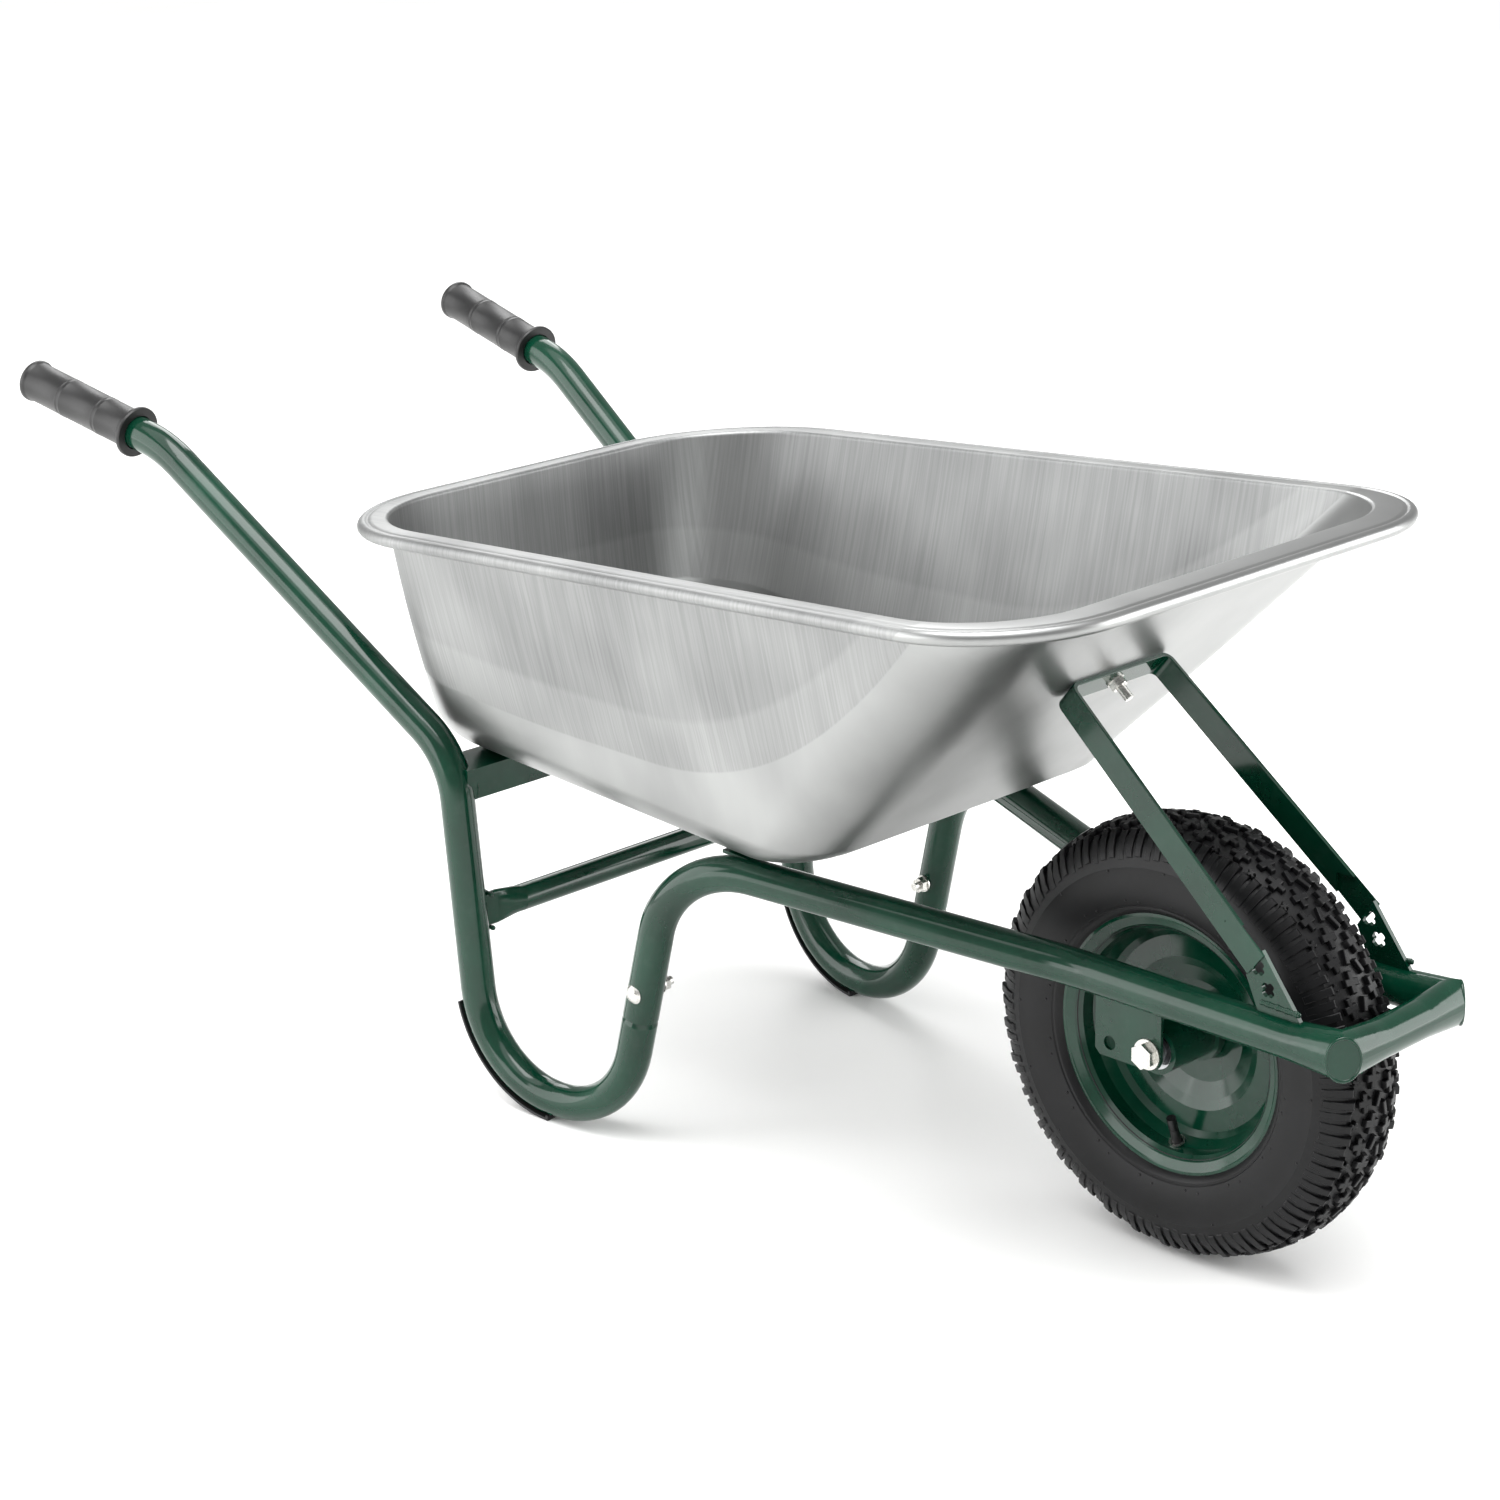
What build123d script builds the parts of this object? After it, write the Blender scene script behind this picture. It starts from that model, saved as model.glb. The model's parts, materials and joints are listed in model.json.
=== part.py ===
from build123d import *
import os
from math import atan2, cos, degrees, hypot, radians, sin, sqrt, tan

# Builder's wheelbarrow: pressed tray on a bent tube frame, one pneumatic wheel.
# Millimetres. +X points forward to the wheel, +Y to the user's left, +Z up.
# The sub-parts are drawn with the axle above X = 0 and then moved forward by
# AXLE_X, which puts the origin on the ground under the middle of the barrow.

AXLE_X = 509.1

# Wheel, a 3.50-8 tyre on a two-piece pressed rim
TYRE_R = 187.5
AXLE_Z = TYRE_R
TREAD_HALF = 33.0
SHOULDER_R = 178.0
SIDEWALL_HALF = 43.5
WIDEST_R = 146.0
TYRE_WALL = 4.5
TREAD_WALL = 9.0
FLANGE_R = 111.0
FLANGE_Y = 31.5
BEAD_SEAT_R = 98.0
DROP_R = 86.0
ANNULUS_R = 66.0
RIM_SHEET = 1.8
BOWL_DEPTH = 12.0
HUB_R = 20.5
HUB_HALF = 49.0
HUB_BORE_R = 14.0
VALVE_TURN = -92.0
VALVE_LEAN = 22.0
VALVE_Y = -13.0
VALVE_SEAT_R = 96.5
VALVE_HOLE_R = 5.1
HUB_COLLAR_R = 24.5
HUB_COLLAR_W = 8.0
RIM_LIP_W = 2.4
DISC_BORE_R = 30.0
DISC_OUTER_FACE = [(58.0, 2.0), (44.0, 7.5)]
DISC_INNER_FACE = [(44.5, 9.4), (58.8, 3.9)]
CROWN_DROP = 1.1
SHOULDER_RISE = 4.0
UPPER_WALL_BULGE = (17.0, 1.6)
LOWER_WALL_BULGE = (13.0, 3.2)
INNER_TUBE_RING_R = 139.0
INNER_TUBE_R = 29.0
INNER_TUBE_WALL = 1.6
VALVE_FOOT_R = 5.0
VALVE_NECK_R = 3.6
VALVE_BODY_H = 20.0
VALVE_BODY_Z = 8.0
VALVE_TIP_R = 3.0
VALVE_TIP_H = 8.0
CAP_R = 4.0
CAP_H = 11.0
CAP_Z = 24.5
CAP_BORE_H = 7.0
CAP_BORE_Z = 21.0
CAP_SKIRT_R = 4.2
CAP_SKIRT_H = 0.4
CAP_SKIRT_Z = 18.0
VALVE_WASHER_R = 7.0
VALVE_WASHER_T = 1.0
VALVE_WASHER_Z = 4.2

# Ball bearings in the hub
BEARING_R = 16.0
BEARING_W = 10.0
INNER_RACE_R = 9.0
OUTER_RACE_R = 13.2
BALL_R = 3.0
BALL_PITCH_R = 11.1
BALL_COUNT = 8
BALL_PLAY = 0.05
AXLE_R = 6.0
FIT = 0.02

# Frame tube
TUBE_R = 16.0
TUBE_WALL = 1.5
RAIL_Y = 72.0
RAIL_Z = 248.5
NOSE_X = 198.0
RAIL_BEND_X = -68.0
NOSE_CUT = 7.5
NOSE_FLARE_HALF_HEIGHT = 20.5
NOSE_FLARE_HALF_WIDTH = 15.5
NOSE_FLARE_LENGTH = 46.0
TOP_BEND_R = 91.0
RAIL_BEND_R = 150.0

# Rear tubes: grip, slope, leg and U-shaped foot, in an upright plane that
# toes out towards the user
SEAM_X = -464.5
SEAM_Y = 188.0
SEAM_Z = 127.0
TOE_OUT = 0.102
RISER_LEAN = 0.248
TOP_BEND_Z = 287.0
LEG_BOTTOM_Z = 18.5
LEG_BEND_R = 95.0
LEG_LEAN = 0.083
SLOPE_TOP = (-1042.6, 559.7)
SLOPE_FOOT = (-681.4, 323.7)
SLOPE_TOP_R = 136.0
SLOPE_FOOT_R = 80.0
GRIP_END = (-1228.0, 600.7)
SPIGOT_R = 14.4
SPIGOT_WALL = 1.5
SPIGOT_LENGTH = 46.0
SHOULDER_LENGTH = 5.0

# Grips
GRIP_LENGTH = 152.0
GRIP_R = 19.0
GRIP_RIM_R = 20.6
GRIP_FLANGE_R = 25.0
GRIP_FLANGE_W = 5.0
GRIP_CAP = 4.0

# Foot skids
SKID_T = 2.5
SKID_W = 24.0
SKID_START = 192.0
SKID_END = 268.0

# Tray
SHEET = 1.2
RIM_REAR_X = -818.5
RIM_FRONT_X = 57.0
RIM_REAR_Z = 532.0
RIM_FRONT_Z = 591.0
RIM_REAR_HALF = 271.5
RIM_FRONT_HALF = 292.5
RIM_REAR_CORNER = 150.0
RIM_FRONT_CORNER = 122.0
BEAD_R = 6.0
RIM_WIDTH = 28.0
RIM_WIDTH_FRONT = 41.0
FLOOR_REAR_X = -768.7
FLOOR_FRONT_X = -293.0
FLOOR_REAR_Z = 319.2
FLOOR_FRONT_Z = 292.1
FLOOR_HALF = 185.0
FLOOR_REAR_CORNER = 72.0
FLOOR_FRONT_CORNER = 56.0
FLOOR_BEND_R = 37.0
BEND_STEPS = 6

# Rear support, cross brace and brackets
SUPPORT_FRONT_X = -664.0
SUPPORT_DEPTH = 42.0
SUPPORT_HEIGHT = 29.5
SUPPORT_T = 3.0
BRACE_X = -668.5
BRACE_Z = 174.5
BRACE_R = 12.5
BRACE_FLAT_HEIGHT = 33.0
BRACE_FLAT_T = 6.0
BRACE_NECK_Y = 150.0
BRACE_FLAT_Y = 178.0
PLATE_T = 3.0
AXLE_PLATE_Y = 56.0
AXLE_PLATE_REAR = -55.0
AXLE_PLATE_FRONT = 13.0
AXLE_PLATE_LOW = 173.0
AXLE_PLATE_TOP = 244.0
SPARE_HOLE_X = -39.8
SPARE_HOLE_Z = 185.5
SPARE_HOLE_R = 6.0
STAY_PLATE_Y = 70.0
STAY_PLATE_T = 4.0
STAY_PLATE_POINTS = [(122.0, 258.0), (107.0, 291.0), (121.5, 314.5), (159.0, 265.5), (164.0, 258.0)]
STAY_CUT_POINTS = [(118.2, 299.5), (128.3, 283.7)]
STAY_LEAN = 50.0
STAY_ROOM_X = 130.0
STAY_ROOM_Z = 285.0
STAY_ROOM = 90.0

# Stay strap, one flat bar bent to a U
STRAP_W = 24.0
STRAP_T = 4.0
STRAP_TOP = (-90.4, 472.8)
STRAP_FOOT = (117.0, 302.0)
STRAP_TOP_HALF = 60.0
STRAP_FOOT_HALF = 76.2
STRAP_BEND_R = 8.0
STAY_HEAD_REACH = 5.5
STAY_BOLT_LENGTH = 30.0

# Fasteners
M8_R = 4.0
M8_HOLE_R = 4.3
M8_AF = 13.0
M8_NUT_H = 6.5
M8_WASHER_R = 8.0
WASHER_T = 1.6
SEAT_GAP = 0.3
DOME_R = 9.0
DOME_H = 4.5
LEG_BOLT_LENGTH = 45.0
LEG_BOLT_SINK = 1.2
M12_AF = 19.0
M12_HEAD_H = 7.0
M12_NUT_H = 10.0
AXLE_WASHER_R = 13.0
AXLE_WASHER_T = 2.0
TRAY_BOLT_Y_FRONT = 134.0
TRAY_BOLT_X_FRONT = -366.0
LUG_W = 30.0
LUG_REACH = 30.0
LUG_OVERLAP = 6.0
TRAY_BOLT_Y_REAR = 120.0
TRAY_BOLT_X_REAR = -690.0

SIDES = {"left": 1, "right": -1}


# ---------- helpers ----------

def mirrored(part, side):
    """The part as drawn on the left, or its mirror image on the right."""
    return part if side > 0 else mirror(part, about=Plane.XZ)


def rounded_path(points, radii):
    """Straight runs joined by tangent arcs, one radius for each inner point."""
    corners = [Vector(*p) for p in points]
    edges = []
    start = corners[0]
    for before, corner, after, radius in zip(corners, corners[1:], corners[2:], radii):
        back = (before - corner).normalized()
        ahead = (after - corner).normalized()
        half = radians(back.get_angle(ahead)) / 2
        reach = radius / tan(half)
        first = corner + back * reach
        last = corner + ahead * reach
        middle = corner + (back + ahead).normalized() * (radius / sin(half) - radius)
        edges.append(Line(start, first))
        edges.append(ThreePointArc(first, middle, last))
        start = last
    edges.append(Line(start, corners[-1]))
    return Wire(edges)


def rod(path, radius):
    """A round bar that follows a path."""
    end = Plane(origin=path @ 0, z_dir=path % 0)
    return sweep(end * Circle(radius), path=path)


def straight_rod(start, end, radius):
    """A round bar between two points."""
    run = Vector(*end) - Vector(*start)
    base = Plane(origin=start, z_dir=run)
    return extrude(base * Circle(radius), run.length)


def wheel_ring(inner, outer, low, high):
    """A ring on the axle line between two distances along Y."""
    section = Pos((inner + outer) / 2, (low + high) / 2) * Rectangle(outer - inner, high - low)
    return Pos(0, 0, AXLE_Z) * revolve(section, axis=Axis.Y)


def wheel_turned(points):
    """A turned shape on the axle line from (radius, Y) points."""
    section = make_face(Polyline(*points, close=True))
    return Pos(0, 0, AXLE_Z) * revolve(section, axis=Axis.Y)


def wheel_disc(radius, low, high):
    """A solid disc on the axle line between two distances along Y."""
    return Pos(0, (low + high) / 2, AXLE_Z) * Rot(90, 0, 0) * Cylinder(radius, high - low)


def hexagon(across_flats, height):
    """A hexagonal prism that stands on Z = 0."""
    return extrude(RegularPolygon(across_flats / 2, 6, major_radius=False), height)


def plain_washer(inner, outer, height):
    """A flat ring that stands on Z = 0."""
    return extrude(Circle(outer) - Circle(inner), height)


def nut(across_flats, hole, height):
    """A hexagon nut that stands on Z = 0, with a chamfered outer face."""
    cone = Cone(across_flats * 1.05, across_flats * 0.52, height * 1.1)
    body = hexagon(across_flats, height) & Pos(0, 0, height * 0.47) * cone
    return body - Cylinder(hole, 3 * height)


def dome_bolt(length):
    """An M8 round-head bolt: head above Z = 0, shank below."""
    ball_r = (DOME_R ** 2 + DOME_H ** 2) / (2 * DOME_H)
    ball = Pos(0, 0, DOME_H - ball_r) * Sphere(ball_r)
    head = ball & Pos(0, 0, DOME_H / 2) * Cylinder(DOME_R, DOME_H)
    return head + Pos(0, 0, -length / 2) * Cylinder(M8_R, length)


def place(part, origin, direction):
    """The part with its Z axis turned to a direction and its base at a point."""
    return Plane(origin=origin, z_dir=direction).location * part


# ---------- lines that several sub-parts share ----------

def toe_y(x):
    """Y of the left rear tube's upright plane at a distance along X."""
    return SEAM_Y + TOE_OUT * (SEAM_X - x)


def on_tube_plane(x, z):
    """A point of the left rear tube's centre line."""
    return (x, toe_y(x), z)


def rear_tube_points():
    """Corners of the left rear tube's centre line, from grip to seam."""
    leg_foot_x = SLOPE_FOOT[0] + LEG_LEAN * (SLOPE_FOOT[1] - LEG_BOTTOM_Z)
    front_foot_x = SEAM_X - RISER_LEAN * (SEAM_Z - LEG_BOTTOM_Z)
    corners = [GRIP_END, SLOPE_TOP, SLOPE_FOOT, (leg_foot_x, LEG_BOTTOM_Z), (front_foot_x, LEG_BOTTOM_Z)]
    return [on_tube_plane(*c) for c in corners] + [on_tube_plane(SEAM_X, SEAM_Z)]


def riser_direction():
    """Unit vector up the riser and the leg's upper end."""
    return Vector(RISER_LEAN, -TOE_OUT * RISER_LEAN, 1).normalized()


def riser_point(distance):
    """A point on the riser's centre line above the seam."""
    return Vector(SEAM_X, SEAM_Y, SEAM_Z) + riser_direction() * distance


def floor_z(x):
    """Underside of the tray's floor."""
    slope = (FLOOR_FRONT_Z - FLOOR_REAR_Z) / (FLOOR_FRONT_X - FLOOR_REAR_X)
    return FLOOR_REAR_Z + slope * (x - FLOOR_REAR_X)


def floor_tilt():
    """Turn about Y that lays a level part along the tray's floor."""
    return degrees(atan2(FLOOR_REAR_Z - FLOOR_FRONT_Z, FLOOR_FRONT_X - FLOOR_REAR_X))


# ---------- frame ----------

def front_half_path():
    """Centre line of the left half of the front frame, from seam to nose."""
    top_x = SEAM_X + RISER_LEAN * (TOP_BEND_Z - SEAM_Z)
    points = [
        (SEAM_X, SEAM_Y, SEAM_Z),
        on_tube_plane(top_x, TOP_BEND_Z),
        (RAIL_BEND_X, RAIL_Y, RAIL_Z),
        (NOSE_X - NOSE_FLARE_LENGTH, RAIL_Y, RAIL_Z),
    ]
    return rounded_path(points, [TOP_BEND_R, RAIL_BEND_R])


def nose_corner():
    """The crushed left nose corner: a flared mitre with a flat outer facet."""
    corner = Vector(NOSE_X, RAIL_Y, RAIL_Z)
    mitre = Plane(origin=corner, x_dir=(1, 1, 0), z_dir=(1, -1, 0))
    flare = mitre * Ellipse(NOSE_FLARE_HALF_WIDTH * sqrt(2), NOSE_FLARE_HALF_HEIGHT)
    rail_end = Plane(origin=corner - Vector(NOSE_FLARE_LENGTH, 0, 0), x_dir=(0, 1, 0), z_dir=(1, 0, 0))
    bar_end = Plane(origin=corner - Vector(0, NOSE_FLARE_LENGTH, 0), x_dir=(1, 0, 0), z_dir=(0, -1, 0))
    rail_side = loft([rail_end * Circle(TUBE_R), flare])
    bar_side = loft([flare, bar_end * Circle(TUBE_R)])
    outward = Vector(1, 1, 0).normalized()
    waste = place(Pos(0, 0, 50) * Box(200, 200, 100), corner + outward * NOSE_CUT, outward)
    return rail_side + bar_side - waste


def front_frame():
    """One tube: risers, top bends, rails and the nose crossbar."""
    path = front_half_path()
    half = rod(path, TUBE_R) + nose_corner()
    bar_half = RAIL_Y - NOSE_FLARE_LENGTH
    crossbar = straight_rod((NOSE_X, -bar_half, RAIL_Z), (NOSE_X, bar_half, RAIL_Z), TUBE_R)
    body = half + crossbar + mirror(half, about=Plane.XZ)
    bore_r = TUBE_R - TUBE_WALL
    bore_end = NOSE_X - bore_r
    bore = rod(path, bore_r)
    bore += straight_rod((NOSE_X - NOSE_FLARE_LENGTH, RAIL_Y, RAIL_Z), (bore_end, RAIL_Y, RAIL_Z), bore_r)
    body -= bore + mirror(bore, about=Plane.XZ)
    for side in SIDES.values():
        body -= mirrored(leg_bolt_hole(), side)
    return body


def rear_tube():
    """The left rear tube: handle, leg and U-shaped foot with a necked end."""
    points = rear_tube_points()
    radii = [SLOPE_TOP_R, SLOPE_FOOT_R, LEG_BEND_R, LEG_BEND_R]
    up = riser_direction()
    neck = riser_point(-SHOULDER_LENGTH)
    points[-1] = tuple(neck)
    start = Vector(*points[0])
    along = (Vector(*points[1]) - start).normalized()
    points[0] = tuple(start + along * (GRIP_CAP + 1))
    path = rounded_path(points, radii)
    shoulder = place(Pos(0, 0, SHOULDER_LENGTH / 2) * Cone(TUBE_R, SPIGOT_R, SHOULDER_LENGTH), neck, up)
    spigot = place(Pos(0, 0, SPIGOT_LENGTH / 2) * Cylinder(SPIGOT_R, SPIGOT_LENGTH), riser_point(0), up)
    bore = rod(path, TUBE_R - TUBE_WALL)
    neck_bore_r = SPIGOT_R - SPIGOT_WALL
    neck_bore = straight_rod(riser_point(-SHOULDER_LENGTH - 1), riser_point(SPIGOT_LENGTH + 1), neck_bore_r)
    return rod(path, TUBE_R) + shoulder + spigot - bore - neck_bore - leg_bolt_hole()


def rear_tube_blank():
    """The left rear tube's outer shape, for saddle cuts."""
    radii = [SLOPE_TOP_R, SLOPE_FOOT_R, LEG_BEND_R, LEG_BEND_R]
    return rod(rounded_path(rear_tube_points(), radii), TUBE_R + FIT)


def foot_skid():
    """A curved wear strip under the rear quarter of the left foot bend."""
    points = rear_tube_points()
    corner, ahead, back = (Vector(*points[i]) for i in (3, 4, 2))
    half = radians((ahead - corner).get_angle(back - corner)) / 2
    centre_x = corner.X + LEG_BEND_R / tan(half)
    centre = (centre_x, toe_y(centre_x), LEG_BOTTOM_Z + LEG_BEND_R)
    inner = LEG_BEND_R + TUBE_R
    arc = CenterArc((0, 0), inner + SKID_T / 2, SKID_START, SKID_END - SKID_START)
    end = Plane(origin=arc @ 0, x_dir=(0, 0, 1), z_dir=arc % 0)
    strip = sweep(end * RectangleRounded(SKID_W, SKID_T, SKID_T * 0.3), path=arc)
    lip_turn = radians(SKID_END)
    lip_place = Pos(inner * cos(lip_turn), inner * sin(lip_turn)) * Rot(0, 0, SKID_END)
    lip = lip_place * Box(2 * SKID_T, SKID_T, SKID_W)
    base = Plane(origin=centre, x_dir=(1, -TOE_OUT, 0), z_dir=(-TOE_OUT, -1, 0))
    return base.location * (strip + lip) - rear_tube_blank()


def grip():
    """The left hand grip, a closed sleeve with an end rim and a front flange."""
    along = (Vector(*on_tube_plane(*SLOPE_TOP)) - Vector(*on_tube_plane(*GRIP_END))).normalized()
    flange_low = GRIP_LENGTH - GRIP_FLANGE_W
    profile = Polyline(
        (0, 0),
        (GRIP_RIM_R - 3, 0),
        (GRIP_RIM_R, 2.5),
        (GRIP_RIM_R, 6),
        (GRIP_R, 7),
        (GRIP_R, flange_low - 4),
        (GRIP_R + 1.5, flange_low - 1),
        (GRIP_FLANGE_R, flange_low),
        (GRIP_FLANGE_R, GRIP_LENGTH - 1),
        (GRIP_FLANGE_R - 1, GRIP_LENGTH),
        (0, GRIP_LENGTH),
        close=True,
    )
    sleeve = place(revolve(make_face(Plane.XZ * profile), axis=Axis.Z), on_tube_plane(*GRIP_END), along)
    cap = place(Pos(0, 0, GRIP_CAP / 2) * Cylinder(TUBE_R + 1, GRIP_CAP), on_tube_plane(*GRIP_END), along)
    return sleeve - (rear_tube_blank() - cap)


def rear_support():
    """A folded channel between the rear tubes that carries the tray's floor."""
    length = 2 * toe_y(SUPPORT_FRONT_X)
    outer = Box(SUPPORT_DEPTH, length, SUPPORT_HEIGHT)
    inner = Pos(0, 0, -SUPPORT_T) * Box(SUPPORT_DEPTH - 2 * SUPPORT_T, length, SUPPORT_HEIGHT)
    middle_x = SUPPORT_FRONT_X - SUPPORT_DEPTH / 2
    top = floor_z(middle_x) - FIT
    channel = Rot(0, floor_tilt(), 0) * Pos(0, 0, -SUPPORT_HEIGHT / 2) * (outer - inner)
    channel = Pos(middle_x, 0, top) * channel
    blank = rear_tube_blank()
    channel = channel - blank - mirror(blank, about=Plane.XZ)
    channel = channel.solids().sort_by(SortBy.VOLUME)[-1]
    for side in SIDES.values():
        channel -= mirrored(tray_rear_bolt_hole(), side)
    return channel


def cross_brace():
    """A round tube between the rear tubes, flattened at both ends."""
    round_end = Plane(origin=(0, BRACE_NECK_Y, 0), x_dir=(1, 0, 0), z_dir=(0, 1, 0))
    flat_end = Plane(origin=(0, BRACE_FLAT_Y, 0), x_dir=(1, 0, 0), z_dir=(0, 1, 0))
    flat = RectangleRounded(BRACE_FLAT_T, BRACE_FLAT_HEIGHT, BRACE_FLAT_T * 0.49)
    neck = loft([round_end * Circle(BRACE_R), flat_end * flat])
    tab = extrude(flat_end * flat, toe_y(BRACE_X) - BRACE_FLAT_Y)
    end = neck + tab
    tube = straight_rod((0, -BRACE_NECK_Y, 0), (0, BRACE_NECK_Y, 0), BRACE_R)
    tube -= straight_rod((0, 1 - BRACE_NECK_Y, 0), (0, BRACE_NECK_Y - 1, 0), BRACE_R - TUBE_WALL)
    bar = Pos(BRACE_X, 0, BRACE_Z) * (tube + end + mirror(end, about=Plane.XZ))
    blank = rear_tube_blank()
    bar = bar - blank - mirror(blank, about=Plane.XZ)
    return bar.solids().sort_by(SortBy.VOLUME)[-1]


# ---------- brackets and stay ----------

def rail_blank():
    """The left rail's outer shape over the brackets, for saddle cuts."""
    return straight_rod((RAIL_BEND_X, RAIL_Y, RAIL_Z), (NOSE_X, RAIL_Y, RAIL_Z), TUBE_R + FIT)


def axle_bracket():
    """The left plate under the rail that holds the axle, with a spare hole."""
    outline = Polyline(
        (AXLE_PLATE_REAR, AXLE_PLATE_TOP),
        (AXLE_PLATE_REAR, AXLE_PLATE_LOW + 5),
        (AXLE_PLATE_REAR + 5, AXLE_PLATE_LOW),
        (AXLE_PLATE_FRONT, AXLE_PLATE_LOW),
        (AXLE_PLATE_FRONT, AXLE_PLATE_TOP),
        close=True,
    )
    plate = make_face(outline)
    front_low = plate.vertices().sort_by(Axis.Y)[:2].sort_by(Axis.X)[-1:]
    plate = fillet(front_low, 12.5)
    plate -= Pos(0, AXLE_Z) * Circle(AXLE_R + 0.2)
    plate -= Pos(SPARE_HOLE_X, SPARE_HOLE_Z) * Circle(SPARE_HOLE_R)
    upright = Plane(origin=(0, AXLE_PLATE_Y, 0), x_dir=(1, 0, 0), z_dir=(0, -1, 0))
    return extrude(upright * plate, -PLATE_T) - rail_blank()


def cross_cutout():
    """A plus-shaped window with rounded arms."""
    arm = RectangleRounded(13, 6, 2)
    return arm + Rot(0, 0, 90) * arm


def stay_bracket():
    """The left plate on top of the rail that takes the stay strap's foot."""
    plate = make_face(Polyline(*STAY_PLATE_POINTS, close=True))
    for x, z in STAY_CUT_POINTS:
        plate -= Pos(x, z) * Rot(0, 0, STAY_LEAN) * cross_cutout()
    upright = Plane(origin=(0, STAY_PLATE_Y, 0), x_dir=(1, 0, 0), z_dir=(0, -1, 0))
    return extrude(upright * plate, -STAY_PLATE_T) - rail_blank() - nose_corner()


def tray_lug():
    """The left tab on the top bend that the tray is bolted to."""
    top = tray_bolt_point(TRAY_BOLT_X_FRONT, TRAY_BOLT_Y_FRONT + LUG_REACH / 2 - LUG_OVERLAP)
    middle = top - floor_up() * (SHEET + FIT)
    tab = Pos(0, 0, -SUPPORT_T / 2) * Box(LUG_W, LUG_REACH + 12, SUPPORT_T)
    tab = Pos(middle.X, middle.Y, middle.Z) * Rot(0, floor_tilt(), 0) * tab
    return tab - rod(front_half_path(), TUBE_R + FIT) - tray_front_bolt_hole()


def strap_plane():
    """The slanted plane of the strap: X across the barrow, Y down the legs."""
    legs = Vector(STRAP_FOOT[0] - STRAP_TOP[0], 0, STRAP_FOOT[1] - STRAP_TOP[1])
    across = Vector(0, 1, 0)
    return Plane(origin=(STRAP_TOP[0], 0, STRAP_TOP[1]), x_dir=across, z_dir=across.cross(legs))


def strap_length():
    """Distance from the strap's top bar to its feet, down the legs."""
    return hypot(STRAP_FOOT[0] - STRAP_TOP[0], STRAP_FOOT[1] - STRAP_TOP[1])


def stay_strap():
    """A flat bar bent to a U: its top bar on the tray, its feet on the brackets."""
    down = strap_length()
    foot = STRAP_FOOT_HALF - STRAP_T / 2
    line = rounded_path(
        [(-foot, down, 0), (-STRAP_TOP_HALF, 0, 0), (STRAP_TOP_HALF, 0, 0), (foot, down, 0)],
        [STRAP_BEND_R, STRAP_BEND_R],
    )
    end = Plane(origin=line @ 0, x_dir=(0, 0, 1), z_dir=line % 0)
    bar = sweep(end * RectangleRounded(STRAP_W, STRAP_T, 0.8), path=line)
    bar -= Cylinder(M8_HOLE_R, 4 * STRAP_T, rotation=(90, 0, 0))
    strap = strap_plane().location * bar
    for side in SIDES.values():
        strap -= mirrored(stay_bracket_blank(), side)
    return strap


def stay_bracket_blank():
    """Room for the left stay bracket behind the strap's foot."""
    middle = Pos(STAY_ROOM_X, STAY_PLATE_Y + STAY_PLATE_T / 2, STAY_ROOM_Z)
    return middle * Box(STAY_ROOM, STAY_PLATE_T + 2 * FIT, STAY_ROOM)


# ---------- tray ----------

def tray_section(depth, inset):
    """A rounded outline across the tray; depth runs from 0 at the rim to 1 at
    the floor, and inset moves it inwards by a sheet's thickness or a bend."""
    top_x = (RIM_REAR_X + RIM_WIDTH, RIM_FRONT_X - RIM_WIDTH_FRONT)
    rear_x = top_x[0] + (FLOOR_REAR_X - top_x[0]) * depth + inset
    front_x = top_x[1] + (FLOOR_FRONT_X - top_x[1]) * depth - inset
    rear_half = RIM_REAR_HALF - RIM_WIDTH + (FLOOR_HALF - RIM_REAR_HALF + RIM_WIDTH) * depth - inset
    front_half = RIM_FRONT_HALF - RIM_WIDTH + (FLOOR_HALF - RIM_FRONT_HALF + RIM_WIDTH) * depth - inset
    rear_r = RIM_REAR_CORNER - RIM_WIDTH + (FLOOR_REAR_CORNER - RIM_REAR_CORNER + RIM_WIDTH) * depth - inset
    mouth_r = RIM_FRONT_CORNER - RIM_WIDTH
    front_r = mouth_r + (FLOOR_FRONT_CORNER - mouth_r) * depth - inset
    return rear_x, front_x, rear_half, front_half, max(rear_r, 6), max(front_r, 6)


def rounded_outline(rear_x, front_x, rear_half, front_half, rear_r, front_r):
    """A closed outline, wider or narrower at the front, with rounded corners."""
    toe = atan2(front_half - rear_half, front_x - rear_x)
    rear_reach = rear_r * tan(radians(45) - toe / 2)
    front_reach = front_r * tan(radians(45) + toe / 2)
    side = (cos(toe), sin(toe))
    rear_in = (rear_x, rear_half - rear_reach)
    rear_out = (rear_x + rear_reach * side[0], rear_half + rear_reach * side[1])
    front_out = (front_x - front_reach * side[0], front_half - front_reach * side[1])
    front_in = (front_x, front_half - front_reach)
    rear_mid = arc_middle((rear_x + rear_r, rear_in[1]), (rear_x, rear_half), rear_r)
    front_mid = arc_middle((front_x - front_r, front_in[1]), (front_x, front_half), front_r)
    left = [rear_in, rear_mid, rear_out, front_out, front_mid, front_in]
    right = [(x, -y) for x, y in reversed(left)]
    edges = [Line(right[-1], left[0]), Line(left[-1], right[0])]
    for half in (left, right):
        edges.append(ThreePointArc(*half[:3]))
        edges.append(Line(half[2], half[3]))
        edges.append(ThreePointArc(*half[3:]))
    return Wire(edges)


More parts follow.
